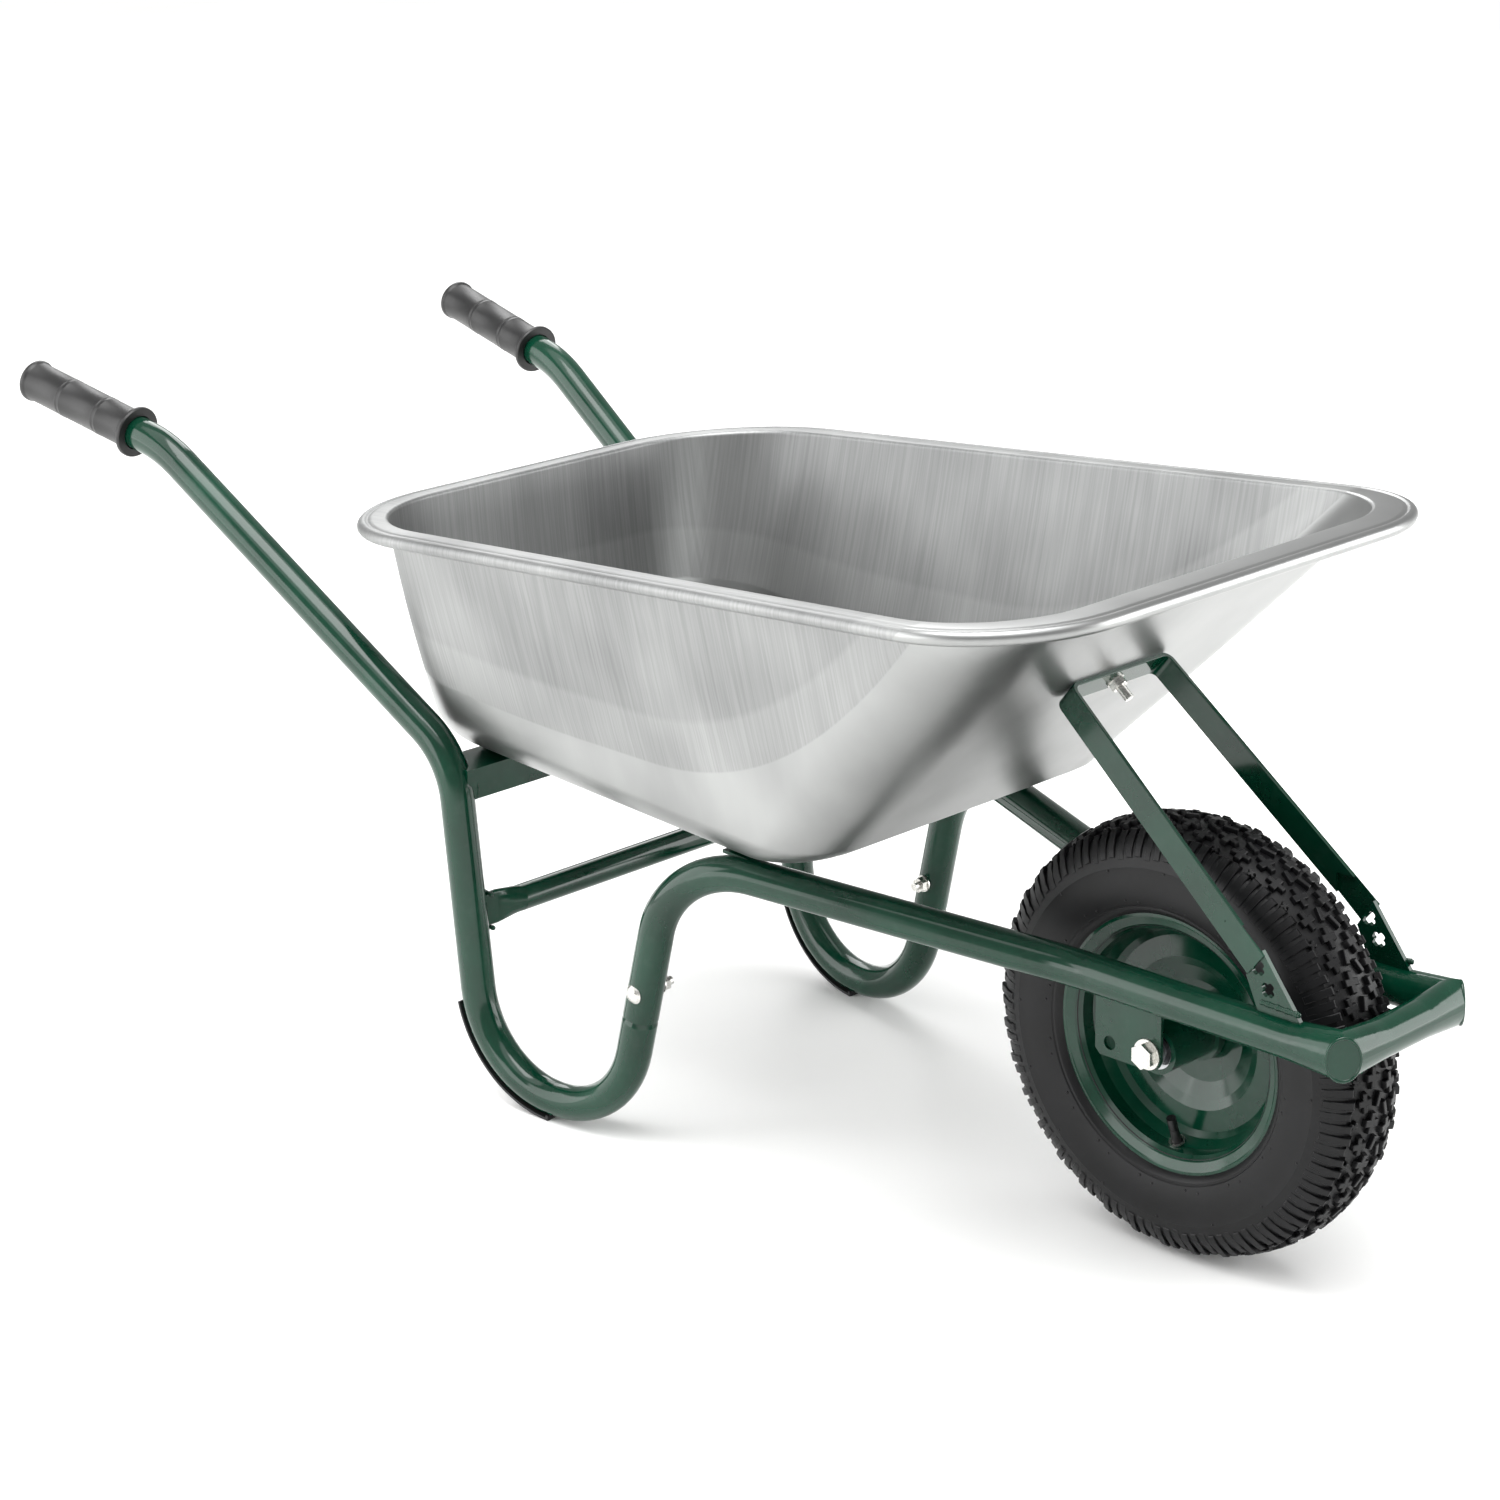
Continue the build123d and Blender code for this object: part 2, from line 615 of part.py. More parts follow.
def arc_middle(centre, corner, radius):
    """The point of a rounded corner's arc nearest to the sharp corner."""
    away = (Vector(*corner) - Vector(*centre)).normalized() * radius
    return (centre[0] + away.X, centre[1] + away.Y)


def slanted(outline, low_x, low_z, high_x, high_z):
    """The outline laid in a plane that slants through two points."""
    tilt = atan2(high_z - low_z, high_x - low_x)
    plane = Plane(origin=(low_x, 0, low_z), x_dir=(cos(tilt), 0, sin(tilt)), z_dir=(-sin(tilt), 0, cos(tilt)))
    return plane.location * Pos(-low_x, 0, 0) * outline


def rim_plane_z(x):
    """Height of the rim's slanted plane."""
    slope = (RIM_FRONT_Z - RIM_REAR_Z) / (RIM_FRONT_X - RIM_REAR_X)
    return RIM_REAR_Z + slope * (x - RIM_REAR_X)


def bowl_solid(inset):
    """A solid that fills the tray to its rim, inset from the outer skin."""
    faces = []
    wall_end = 1 - FLOOR_BEND_R / (RIM_REAR_Z - FLOOR_REAR_Z)
    for step in range(BEND_STEPS + 2):
        turn = radians(90 * max(step - 1, 0) / BEND_STEPS)
        bend = FLOOR_BEND_R - inset
        fall = sin(turn) * bend if step else 0
        depth = 0 if step == 0 else wall_end + (1 - wall_end) * sin(turn)
        draw_in = inset + (1 - cos(turn)) * bend
        section = tray_section(depth, draw_in if step else inset)
        rear_x, front_x = section[0], section[1]
        if step == 0:
            rear_z, front_z = rim_plane_z(rear_x), rim_plane_z(front_x)
        else:
            rear_z = floor_z(rear_x) + FLOOR_BEND_R - fall
            front_z = floor_z(front_x) + FLOOR_BEND_R - fall
        faces.append(Face(slanted(rounded_outline(*section), rear_x, rear_z, front_x, front_z)))
    return loft(faces, ruled=True)


def rim_outline(inset):
    """The rim's outline in plan, moved inwards."""
    return rounded_outline(
        RIM_REAR_X + inset,
        RIM_FRONT_X - inset,
        RIM_REAR_HALF - inset,
        RIM_FRONT_HALF - inset,
        RIM_REAR_CORNER - inset,
        RIM_FRONT_CORNER - inset,
    )


def on_rim(outline):
    """The outline laid in the rim's slanted plane."""
    return slanted(outline, RIM_REAR_X, RIM_REAR_Z, RIM_FRONT_X, RIM_FRONT_Z)


def rim_up():
    """The rim plane's upward normal."""
    tilt = atan2(RIM_FRONT_Z - RIM_REAR_Z, RIM_FRONT_X - RIM_REAR_X)
    return Vector(-sin(tilt), 0, cos(tilt))


def rim_flange():
    """The flat flange and the rolled edge around the tray's mouth."""
    outer = Face(on_rim(rim_outline(BEAD_R)))
    mouth = Face(on_rim(rounded_outline(*tray_section(0, SHEET))))
    up = rim_up()
    flange = extrude(outer, SHEET, dir=up) - extrude(mouth, 3 * SHEET, dir=up, both=True)
    line = on_rim(rim_outline(BEAD_R))
    drop = up * (SHEET - BEAD_R)
    line = line.moved(Location(drop))
    end = Plane(origin=line @ 0, z_dir=line % 0)
    roll = sweep(end * (Circle(BEAD_R) - Circle(BEAD_R - SHEET)), path=line)
    return flange + roll


def tray():
    """The pressed sheet tray with its rolled rim."""
    shell = bowl_solid(0) - bowl_solid(SHEET) + rim_flange()
    for side in SIDES.values():
        shell -= mirrored(tray_front_bolt_hole(), side)
        shell -= mirrored(tray_rear_bolt_hole(), side)
    shell -= place(Cylinder(M8_HOLE_R, 80), *stay_bolt_line())
    return shell


# ---------- fasteners ----------

def leg_bolt_middle():
    """Where the left leg bolt crosses the riser's centre line."""
    return riser_point(27)


def leg_bolt_hole():
    """The hole for the left leg bolt."""
    return place(Cylinder(M8_HOLE_R, 60), leg_bolt_middle(), (0, 1, 0))


def leg_bolt():
    """The left leg bolt with its round head outside."""
    head = leg_bolt_middle() + Vector(0, TUBE_R - LEG_BOLT_SINK, 0)
    return place(dome_bolt(LEG_BOLT_LENGTH), head, (0, 1, 0)) - leg_bolt_room()


def leg_bolt_room():
    """The riser's outer shape, cut out of the bolt head's underside."""
    ring = Cylinder(TUBE_R + FIT, 60) - Cylinder(TUBE_R - TUBE_WALL, 60)
    ring = place(ring, leg_bolt_middle(), riser_direction())
    return ring - place(Cylinder(M8_R, 80), leg_bolt_middle(), (0, 1, 0))


def leg_washer():
    """The washer under the left leg nut."""
    base = leg_bolt_middle() - Vector(0, TUBE_R + SEAT_GAP, 0)
    return place(plain_washer(M8_HOLE_R, M8_WASHER_R, WASHER_T), base, (0, -1, 0))


def leg_nut():
    """The left leg nut on the inner side."""
    base = leg_bolt_middle() - Vector(0, TUBE_R + SEAT_GAP + WASHER_T + FIT, 0)
    return place(nut(M8_AF, M8_R + FIT, M8_NUT_H), base, (0, -1, 0))


def tray_bolt_point(x, y):
    """A point on top of the tray's floor."""
    return Vector(x, y, floor_z(x) + SHEET)


def floor_up():
    """The tray floor's upward normal."""
    tilt = radians(floor_tilt())
    return Vector(sin(tilt), 0, cos(tilt))


def tray_front_bolt_hole():
    """The hole for the left front tray bolt."""
    return place(Cylinder(M8_HOLE_R, 110), tray_bolt_point(TRAY_BOLT_X_FRONT, TRAY_BOLT_Y_FRONT), floor_up())


def tray_rear_bolt_hole():
    """The hole for the left rear tray bolt."""
    return place(Cylinder(M8_HOLE_R, 40), tray_bolt_point(TRAY_BOLT_X_REAR, TRAY_BOLT_Y_REAR), floor_up())


def tray_bolt_set():
    """Place and grip length of the two left tray bolts."""
    front = tray_bolt_point(TRAY_BOLT_X_FRONT, TRAY_BOLT_Y_FRONT)
    rear = tray_bolt_point(TRAY_BOLT_X_REAR, TRAY_BOLT_Y_REAR)
    grip_length = SHEET + SUPPORT_T + FIT
    return [(front, grip_length), (rear, grip_length)]


def tray_bolts(side):
    """Round-head bolts through the tray's floor."""
    up = floor_up()
    return [mirrored(place(dome_bolt(g + 12), p + up * FIT, up), side) for p, g in tray_bolt_set()]


def tray_washers(side):
    """Washers under the tray nuts."""
    up = floor_up()
    ring = plain_washer(M8_HOLE_R, M8_WASHER_R, WASHER_T)
    return [mirrored(place(ring, p - up * (g + 2 * FIT), up * -1), side) for p, g in tray_bolt_set()]


def tray_nuts(side):
    """Nuts on the tray bolts."""
    up = floor_up()
    part = nut(M8_AF, M8_R + FIT, M8_NUT_H)
    below = [(p - up * (g + WASHER_T + 3 * FIT)) for p, g in tray_bolt_set()]
    return [mirrored(place(part, p, up * -1), side) for p in below]


def stay_bolt_line():
    """Middle and direction of the bolt through the tray's front wall."""
    legs = Vector(STRAP_FOOT[0] - STRAP_TOP[0], 0, STRAP_FOOT[1] - STRAP_TOP[1]).normalized()
    return Vector(STRAP_TOP[0], 0, STRAP_TOP[1]), legs


def stay_bolt():
    """The bolt from inside the tray through the strap's top bar."""
    middle, down = stay_bolt_line()
    return place(dome_bolt(STAY_BOLT_LENGTH), middle - down * (STRAP_T / 2 + STAY_HEAD_REACH), down * -1)


def stay_washers():
    """A plain washer on the strap's front face."""
    middle, down = stay_bolt_line()
    return place(plain_washer(M8_HOLE_R, M8_WASHER_R, WASHER_T), middle + down * (STRAP_T / 2 + FIT), down)


def stay_nut():
    """The nut on the stay bolt."""
    middle, down = stay_bolt_line()
    base = middle + down * (STRAP_T / 2 + WASHER_T + 2 * FIT)
    return place(nut(M8_AF, M8_R + FIT, M8_NUT_H), base, down)


# ---------- axle ----------

def plate_face():
    """Y of the axle brackets' outer faces."""
    return AXLE_PLATE_Y + PLATE_T


def axle_bolt():
    """The M12 hexagon bolt that is the wheel's axle, its head on the right."""
    head_y = -(plate_face() + AXLE_WASHER_T + 2 * FIT)
    shank_end = plate_face() + AXLE_WASHER_T + M12_NUT_H + 4
    shank = wheel_disc(AXLE_R, head_y, shank_end)
    return shank + place(hexagon(M12_AF, M12_HEAD_H), (0, head_y, AXLE_Z), (0, -1, 0))


def axle_nut():
    """The axle's lock nut, on the left."""
    base = plate_face() + AXLE_WASHER_T + 2 * FIT
    return place(nut(M12_AF, AXLE_R + FIT, M12_NUT_H), (0, base, AXLE_Z), (0, 1, 0))


def axle_washer(side):
    """A wide washer on the outer face of a bracket."""
    low, high = plate_face() + FIT, plate_face() + FIT + AXLE_WASHER_T
    return mirrored(wheel_ring(AXLE_R + FIT, AXLE_WASHER_R, low, high), side)


def axle_spacer(side):
    """A collar between a bearing and a bracket."""
    low, high = HUB_HALF + FIT, AXLE_PLATE_Y - FIT
    collar = wheel_ring(AXLE_R + FIT, INNER_RACE_R, low, high)
    rim = wheel_ring(AXLE_R + FIT, AXLE_WASHER_R, high - 2.5, high)
    return mirrored(collar + rim, side)


def axle_sleeve():
    """The tube on the axle that keeps the two bearings apart."""
    half = HUB_HALF - BEARING_W - FIT
    return wheel_ring(AXLE_R + FIT, INNER_RACE_R - 1, -half, half)


def ball_groove():
    """The ring-shaped track that the balls run in, on the left bearing."""
    middle = HUB_HALF - BEARING_W / 2
    return Pos(0, middle, AXLE_Z) * Rot(90, 0, 0) * Torus(BALL_PITCH_R, BALL_R + BALL_PLAY)


def bearing_inner_ring(side):
    """A bearing's inner ring, still on the axle."""
    ring = wheel_ring(AXLE_R + FIT, INNER_RACE_R, HUB_HALF - BEARING_W, HUB_HALF)
    return mirrored(ring - ball_groove(), side)


def bearing_outer_ring(side):
    """A bearing's outer ring, pressed in the hub."""
    ring = wheel_ring(OUTER_RACE_R, BEARING_R, HUB_HALF - BEARING_W, HUB_HALF)
    return mirrored(ring - ball_groove(), side)


def bearing_balls(side):
    """One bearing's balls."""
    middle = HUB_HALF - BEARING_W / 2
    balls = []
    for step in range(BALL_COUNT):
        turn = radians(360 * step / BALL_COUNT)
        spot = (BALL_PITCH_R * cos(turn), middle, AXLE_Z + BALL_PITCH_R * sin(turn))
        balls.append(mirrored(Pos(*spot) * Sphere(BALL_R), side))
    return balls


def bearing_shield(side):
    """The thin dust shield on a bearing's outer face."""
    return mirrored(wheel_ring(INNER_RACE_R + 0.4, OUTER_RACE_R - FIT, HUB_HALF - 1.0, HUB_HALF - 0.2), side)


# ---------- wheel ----------

def hub_tube():
    """The hub with a bearing seat at each end and a collar at the disc."""
    body = wheel_ring(HUB_BORE_R, HUB_R, -HUB_HALF, HUB_HALF)
    seat = wheel_ring(HUB_BORE_R - 1, BEARING_R + FIT, HUB_HALF - BEARING_W, HUB_HALF + 1)
    disc_y = BOWL_DEPTH - RIM_SHEET - FIT
    collar = wheel_ring(HUB_BORE_R, HUB_COLLAR_R, disc_y - HUB_COLLAR_W, disc_y)
    return body + collar - seat - mirror(seat, about=Plane.XZ)


def rim_edge_points(side):
    """Outer-face points of one rim half, from the lip to the annulus."""
    return [
        (FLANGE_R, side * (FLANGE_Y + RIM_LIP_W)),
        (FLANGE_R - 2.5, side * (FLANGE_Y + RIM_LIP_W)),
        (FLANGE_R - 3.5, side * (FLANGE_Y + RIM_SHEET)),
        (BEAD_SEAT_R + 3, side * (FLANGE_Y - 1)),
        (BEAD_SEAT_R - RIM_SHEET, side * (FLANGE_Y - 6)),
        (BEAD_SEAT_R - RIM_SHEET - 1, side * 14),
        (DROP_R + 3, side * 6),
    ]


def rim_skin_points(side):
    """Tyre-side points of one rim half, from the annulus to the lip."""
    return [
        (DROP_R + 4.5, side * 7),
        (BEAD_SEAT_R - 0.8, side * 14.8),
        (BEAD_SEAT_R, side * (FLANGE_Y - 6.5)),
        (BEAD_SEAT_R + 3.6, side * (FLANGE_Y - 1 - RIM_SHEET)),
        (FLANGE_R - 4, side * FLANGE_Y),
        (FLANGE_R, side * (FLANGE_Y + 0.4)),
    ]


def rim_dished_half():
    """The right rim half, with the disc that carries the hub."""
    outer = rim_edge_points(-1)
    disc_outer = [(DROP_R - 2, -RIM_SHEET), (ANNULUS_R, -RIM_SHEET), *DISC_OUTER_FACE]
    disc_outer += [(DISC_BORE_R, BOWL_DEPTH - RIM_SHEET)]
    bore = [(HUB_R + FIT, BOWL_DEPTH), (HUB_R + FIT, BOWL_DEPTH + RIM_SHEET)]
    disc_inner = [(DISC_BORE_R, BOWL_DEPTH), *DISC_INNER_FACE, (ANNULUS_R + 0.5, 0), (DROP_R - 0.8, 0)]
    return wheel_turned(outer + disc_outer + bore + disc_inner + [(DROP_R + 2, -3)] + rim_skin_points(-1))


def rim_ring_half():
    """The left rim half, an open ring welded to the disc."""
    outer = rim_edge_points(1)
    face = RIM_SHEET + FIT
    annulus = [(DROP_R - 1.2, face), (ANNULUS_R + 2, face), (ANNULUS_R + 2, FIT), (DROP_R, FIT)]
    return wheel_turned(outer + annulus + [(DROP_R + 2.4, 3)] + rim_skin_points(1))


def tyre_section(shrink):
    """Half of the tyre's outline: crown, shoulder, sidewall and bead."""
    crown = TYRE_R - shrink * TREAD_WALL
    shoulder = SHOULDER_R - shrink * TREAD_WALL
    wide = SIDEWALL_HALF - shrink * TYRE_WALL
    edge = TREAD_HALF - shrink * TYRE_WALL
    bead_y = FLANGE_Y - 3 - shrink * (TYRE_WALL + 3)
    return crown, shoulder, wide, edge, bead_y


def tyre_solid(shrink, bottom):
    """A solid of revolution inside the tyre's outer or inner skin."""
    crown, shoulder, wide, edge, bead_y = tyre_section(shrink)
    shoulder_r = shoulder + SHOULDER_RISE
    flank_y = FLANGE_Y + 1.6 - 4 * shrink
    edges = [Line((bottom, -bead_y), (bottom, bead_y))]
    for turn in (1, -1):
        tread = (crown - CROWN_DROP, turn * edge * 0.55)
        edges.append(ThreePointArc((crown, 0), tread, (shoulder_r, turn * edge)))
        upper = (WIDEST_R + UPPER_WALL_BULGE[0], turn * (wide - UPPER_WALL_BULGE[1]))
        lower = (FLANGE_R + LOWER_WALL_BULGE[0], turn * (wide - LOWER_WALL_BULGE[1]))
        edges.append(ThreePointArc((shoulder_r, turn * edge), upper, (WIDEST_R, turn * wide)))
        edges.append(ThreePointArc((WIDEST_R, turn * wide), lower, (FLANGE_R + 1, turn * flank_y)))
        edges.append(Line((FLANGE_R + 1, turn * flank_y), (bottom, turn * bead_y)))
    return revolve(make_face(edges), axis=Axis.Y)


def rim_blank():
    """The space that the rim takes from the tyre, with a sheet's clearance."""
    left = [(r + FIT, y) for r, y in rim_skin_points(1)]
    left += [(FLANGE_R + FIT, 2 * FLANGE_Y), (HUB_R, 2 * FLANGE_Y)]
    right = [(r, -y) for r, y in reversed(left)]
    return revolve(make_face(Polyline(*left, *right, close=True)), axis=Axis.Y)


def tyre():
    """The tyre's casing, open between its beads."""
    casing = tyre_solid(0, BEAD_SEAT_R + 0.1) - tyre_solid(1, BEAD_SEAT_R - 8)
    return Pos(0, 0, AXLE_Z) * (casing - rim_blank())


def inner_tube():
    """The air tube that fills the tyre."""
    outer = Torus(INNER_TUBE_RING_R, INNER_TUBE_R)
    hollow = Torus(INNER_TUBE_RING_R, INNER_TUBE_R - INNER_TUBE_WALL)
    return Pos(0, 0, AXLE_Z) * Rot(90, 0, 0) * (outer - hollow)


# ---------- valve ----------

def valve_place(part):
    """The part moved from a stem along Z to the valve hole in the rim."""
    seat = Pos(0, VALVE_Y, -VALVE_SEAT_R)
    upright = Rot(VALVE_LEAN, 0, 0) * part
    return Pos(0, 0, AXLE_Z) * Rot(0, -(90 + VALVE_TURN), 0) * seat * upright


def valve_stem():
    """The rubber valve stem, wide at the rim and narrow at its tip."""
    body = Pos(0, 0, VALVE_BODY_Z) * Cone(VALVE_FOOT_R, VALVE_NECK_R, VALVE_BODY_H)
    return valve_place(body + Pos(0, 0, VALVE_BODY_H) * Cylinder(VALVE_TIP_R, VALVE_TIP_H))


def valve_cap():
    """The screw cap over the valve's tip."""
    bore = Pos(0, 0, CAP_BORE_Z) * Cylinder(VALVE_TIP_R + FIT, CAP_BORE_H)
    skirt = Pos(0, 0, CAP_SKIRT_Z) * Cylinder(CAP_SKIRT_R, CAP_SKIRT_H)
    return valve_place(Pos(0, 0, CAP_Z) * Cylinder(CAP_R, CAP_H) - bore - skirt)


def valve_washer():
    """The small plated washer around the valve hole."""
    ring = Cylinder(VALVE_WASHER_R, VALVE_WASHER_T) - Cylinder(VALVE_HOLE_R, 3 * VALVE_WASHER_T)
    return valve_place(Pos(0, 0, VALVE_WASHER_Z) * ring)


def valve_hole():
    """The hole in the rim for the valve stem."""
    return valve_place(Cylinder(VALVE_HOLE_R, 2 * VALVE_BODY_H + VALVE_BODY_Z))


# ---------- output ----------

def pieces():
    """Every node's name and its solids."""
    made = {"front_frame": front_frame()}
    for name, side in SIDES.items():
        made["rear_tube_" + name] = mirrored(rear_tube(), side)
        made["grip_" + name] = mirrored(grip(), side)
        made["foot_skid_" + name] = mirrored(foot_skid(), side)
        made["axle_bracket_" + name] = mirrored(axle_bracket(), side)
        made["stay_bracket_" + name] = mirrored(stay_bracket(), side)
        made["tray_lug_" + name] = mirrored(tray_lug(), side)
    both = SIDES.values()
    made["rear_support"] = rear_support()
    made["cross_brace"] = cross_brace()
    made["stay_strap"] = stay_strap()
    made["tray"] = tray()
    made["leg_bolts"] = [mirrored(leg_bolt(), side) for side in both]
    made["leg_washers"] = [mirrored(leg_washer(), side) for side in both]
    made["leg_nuts"] = [mirrored(leg_nut(), side) for side in both]
    made["tray_bolts"] = [bolt for side in both for bolt in tray_bolts(side)]
    made["tray_washers"] = [ring for side in both for ring in tray_washers(side)]
    made["tray_nuts"] = [part for side in both for part in tray_nuts(side)]
    made["stay_bolt"] = stay_bolt()
    made["stay_washer"] = stay_washers()
    made["stay_nut"] = stay_nut()
    made["axle_bolt"] = axle_bolt()
    made["axle_nut"] = axle_nut()
    made["axle_washers"] = [axle_washer(side) for side in both]
    made["axle_spacers"] = [axle_spacer(side) for side in both]
    made["axle_sleeve"] = axle_sleeve()
    made["bearing_inner_rings"] = [bearing_inner_ring(side) for side in both]
    made["bearing_outer_rings"] = [bearing_outer_ring(side) for side in both]
    made["bearing_balls"] = [ball for side in both for ball in bearing_balls(side)]
    made["bearing_shields"] = [bearing_shield(side) for side in both]
    made["hub_tube"] = hub_tube()
    made["rim_dished_half"] = rim_dished_half() - valve_hole()
    made["rim_ring_half"] = rim_ring_half()
    made["tyre"] = tyre()
    made["inner_tube"] = inner_tube()
    made["valve_stem"] = valve_stem()
    made["valve_cap"] = valve_cap()
    made["valve_washer"] = valve_washer()
    return made


def write(name, shapes):
    """One STEP file for one node, moved to the barrow's own origin."""
    solids = shapes if isinstance(shapes, list) else [shapes]
    flat = [solid for shape in solids for solid in shape.solids()]
    body = flat[0] if len(flat) == 1 else Compound(flat)
    export_step(body.moved(Location((AXLE_X, 0, 0))), os.path.join("parts", name + ".step"))


os.makedirs("parts", exist_ok=True)
for node, shapes in pieces().items():
    write(node, shapes)
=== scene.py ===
"""Builder's wheelbarrow: pressed galvanised tray, bent tube frame and one pneumatic wheel.

Metres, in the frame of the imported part: +X forward to the wheel, +Y to the user's left, +Z up.
"""

import json
from math import cos, pi, radians, sin, tan

import bmesh
import bpy
from mathutils import Matrix, Vector


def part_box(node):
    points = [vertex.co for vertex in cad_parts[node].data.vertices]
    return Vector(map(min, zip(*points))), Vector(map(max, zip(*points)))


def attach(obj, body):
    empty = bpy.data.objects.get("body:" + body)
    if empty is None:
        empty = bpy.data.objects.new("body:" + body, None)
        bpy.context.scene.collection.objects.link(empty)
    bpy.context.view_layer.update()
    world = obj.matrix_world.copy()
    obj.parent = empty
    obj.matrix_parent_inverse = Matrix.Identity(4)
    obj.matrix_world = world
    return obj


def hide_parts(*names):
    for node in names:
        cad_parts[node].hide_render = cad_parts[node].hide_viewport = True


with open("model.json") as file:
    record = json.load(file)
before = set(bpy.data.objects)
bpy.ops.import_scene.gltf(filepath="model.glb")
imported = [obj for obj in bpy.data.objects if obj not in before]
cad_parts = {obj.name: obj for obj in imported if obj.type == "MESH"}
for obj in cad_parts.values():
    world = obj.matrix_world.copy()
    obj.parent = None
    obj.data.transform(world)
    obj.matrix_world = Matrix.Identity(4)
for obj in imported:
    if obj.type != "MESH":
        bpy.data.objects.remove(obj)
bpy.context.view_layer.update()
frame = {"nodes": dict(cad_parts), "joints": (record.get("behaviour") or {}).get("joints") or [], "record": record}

MM = 0.001
axle = Vector(frame["joints"][0]["pos_m"])

# ---------- camera and light ----------

CAMERA_FROM_AXLE = Vector((1.5943, -2.0480, 1.1094))
CAMERA_AZIMUTH = 45.83
CAMERA_ELEVATION = 18.46
CAMERA_ROLL = -1.13
CAMERA_LENS = 81.89
# Strength of the white surround as a light; looked at directly, it is plain white
SURROUND = 0.55
SKY_POWER = 1.75
SKY_SPREAD = 70
SKY_TILT = (12, 8, 0)
FLOOR_REACH = 40
# Each softbox: its place, what it points at, its width in metres and its power in watts
SOFTBOXES = {
    "side_softbox": (axle + Vector((-1.1, -3.0, 0.5)), (0, 0, 0.35), 1.2, 17),
    "top_softbox": ((0.2, -0.6, 3.4), (0, 0, 0.3), 2.2, 95),
    "front_softbox": ((2.6, 2.3, 0.95), (-0.2, 0, 0.45), 2.4, 85),
    "back_softbox": ((-2.4, 1.7, 2.3), (0, 0, 0.4), 1.8, 42),
    "rear_side_softbox": ((-2.1, -2.3, 1.3), (0, 0.2, 0.45), 2.4, 62),
}

# ---------- tyre and tread ----------

TYRE_STEPS = 120
CROWN_R = 187.3 * MM
CROWN_FALL = 8.6
TREAD_PITCHES = 30
TREAD_DEPTH = 4.0 * MM
# A block's root is sunk a little below the floor of the grooves
BLOCK_SINK = 0.5 * MM
BLOCK_DRAFT = 0.9
BLOCK_EDGE = 0.5 * MM
SHOULDER_BARS = 108
# The bars' ends step in and out by threes
BAR_STEPS = (0.0, 2.6 * MM, 1.0 * MM)
BAR_SIZE = (6.7 * MM, 6.0 * MM, 25 * MM)
BAR_CURL = 2.2 * MM
BAR_TAPER = 0.06
BAR_EDGE = 0.6 * MM
BAR_Y = 35.4 * MM
BAR_R = 170.6 * MM
BAR_LEAN = 29
VENT_TURNS = 16
# Each vent pip: radius and distance sideways in mm, and how far it lags around the wheel
VENTS = ((150, 43.1, 0), (124, 41.0, 0.06), (122, 40.6, 0.17))
VENT_SIZE = (1.3 * MM, 0.7 * MM, 1.3 * MM)

# ---------- nose ----------

FOLD_R = 1.5 * MM
FOLD_SINK = 0.7 * MM
FOLD_STEPS = 48
# The corner faces lie further ahead of the axle than this
NOSE_REACH = 0.15

# ---------- tray ----------

SHEET = 1.2 * MM
ROLL_R = 6.0 * MM
CORNER_STEPS = 14
# The draw line runs level low on the walls and climbs to the rim ahead of DRAW_LINE_X
DRAW_LINE_X = axle.x - 0.42
DRAW_LINE_Z = 0.377
DRAW_LINE_CURVE = 1.55
DRAW_LINE_REAR_CURVE = 0.3
DRAW_LINE_EDGE = 2 * MM
SECOND_LINE_RISE = 0.045
SECOND_LINE_EDGE = 6 * MM
# How the tone changes above each line, and how strongly marks and scuffs show
DRAWN_TONE = -0.12
SECOND_TONE = -0.14
STREAK_TONE = 0.1
SCUFF_TONE = 0.1


# ---------- materials ----------

def linear(hex_colour):
    """An sRGB hex colour as a linear RGBA value."""
    channels = [int(hex_colour[i : i + 2], 16) / 255 for i in (1, 3, 5)]
    return [c / 12.92 if c <= 0.04045 else ((c + 0.055) / 1.055) ** 2.4 for c in channels] + [1.0]


def add(tree, kind, settings=None, values=None, links=None):
    """A node with its settings, its sockets' values and its links."""
    made = tree.nodes.new(kind)
    for name, value in (settings or {}).items():
        setattr(made, name, value)
    for socket, value in (values or {}).items():
        made.inputs[socket].default_value = value
    for socket, source in (links or {}).items():
        tree.links.new(source, made.inputs[socket])
    return made


def blank_material(name):
    """An empty node material with its output."""
    material = bpy.data.materials.new(name)
    material.use_nodes = True
    tree = material.node_tree
    tree.nodes.clear()
    return material, tree, add(tree, "ShaderNodeOutputMaterial")


def grain(tree, size, detail=2.0, stretch=(1, 1, 1)):
    """Noise on the piece's own coordinates with grains of a real size in metres."""
    place = add(tree, "ShaderNodeTexCoord").outputs["Object"]
    scaled = add(tree, "ShaderNodeMapping", values={"Scale": stretch}, links={"Vector": place})
    return add(
        tree,
        "ShaderNodeTexNoise",
        values={"Scale": 1 / size, "Detail": detail},
        links={"Vector": scaled.outputs["Vector"]},
    ).outputs["Fac"]


def spans(low, high, start=0.3, end=0.7):
    """The socket values that map start to end onto low to high; noise mostly keeps to 0.3 to 0.7."""
    return {"From Min": start, "From Max": end, "To Min": low, "To Max": high}


def shades(first, second):
    """The socket values of a mix between two hex colours."""
    return {"A": linear(first), "B": linear(second)}


COLOURS = {"data_type": "RGBA"}


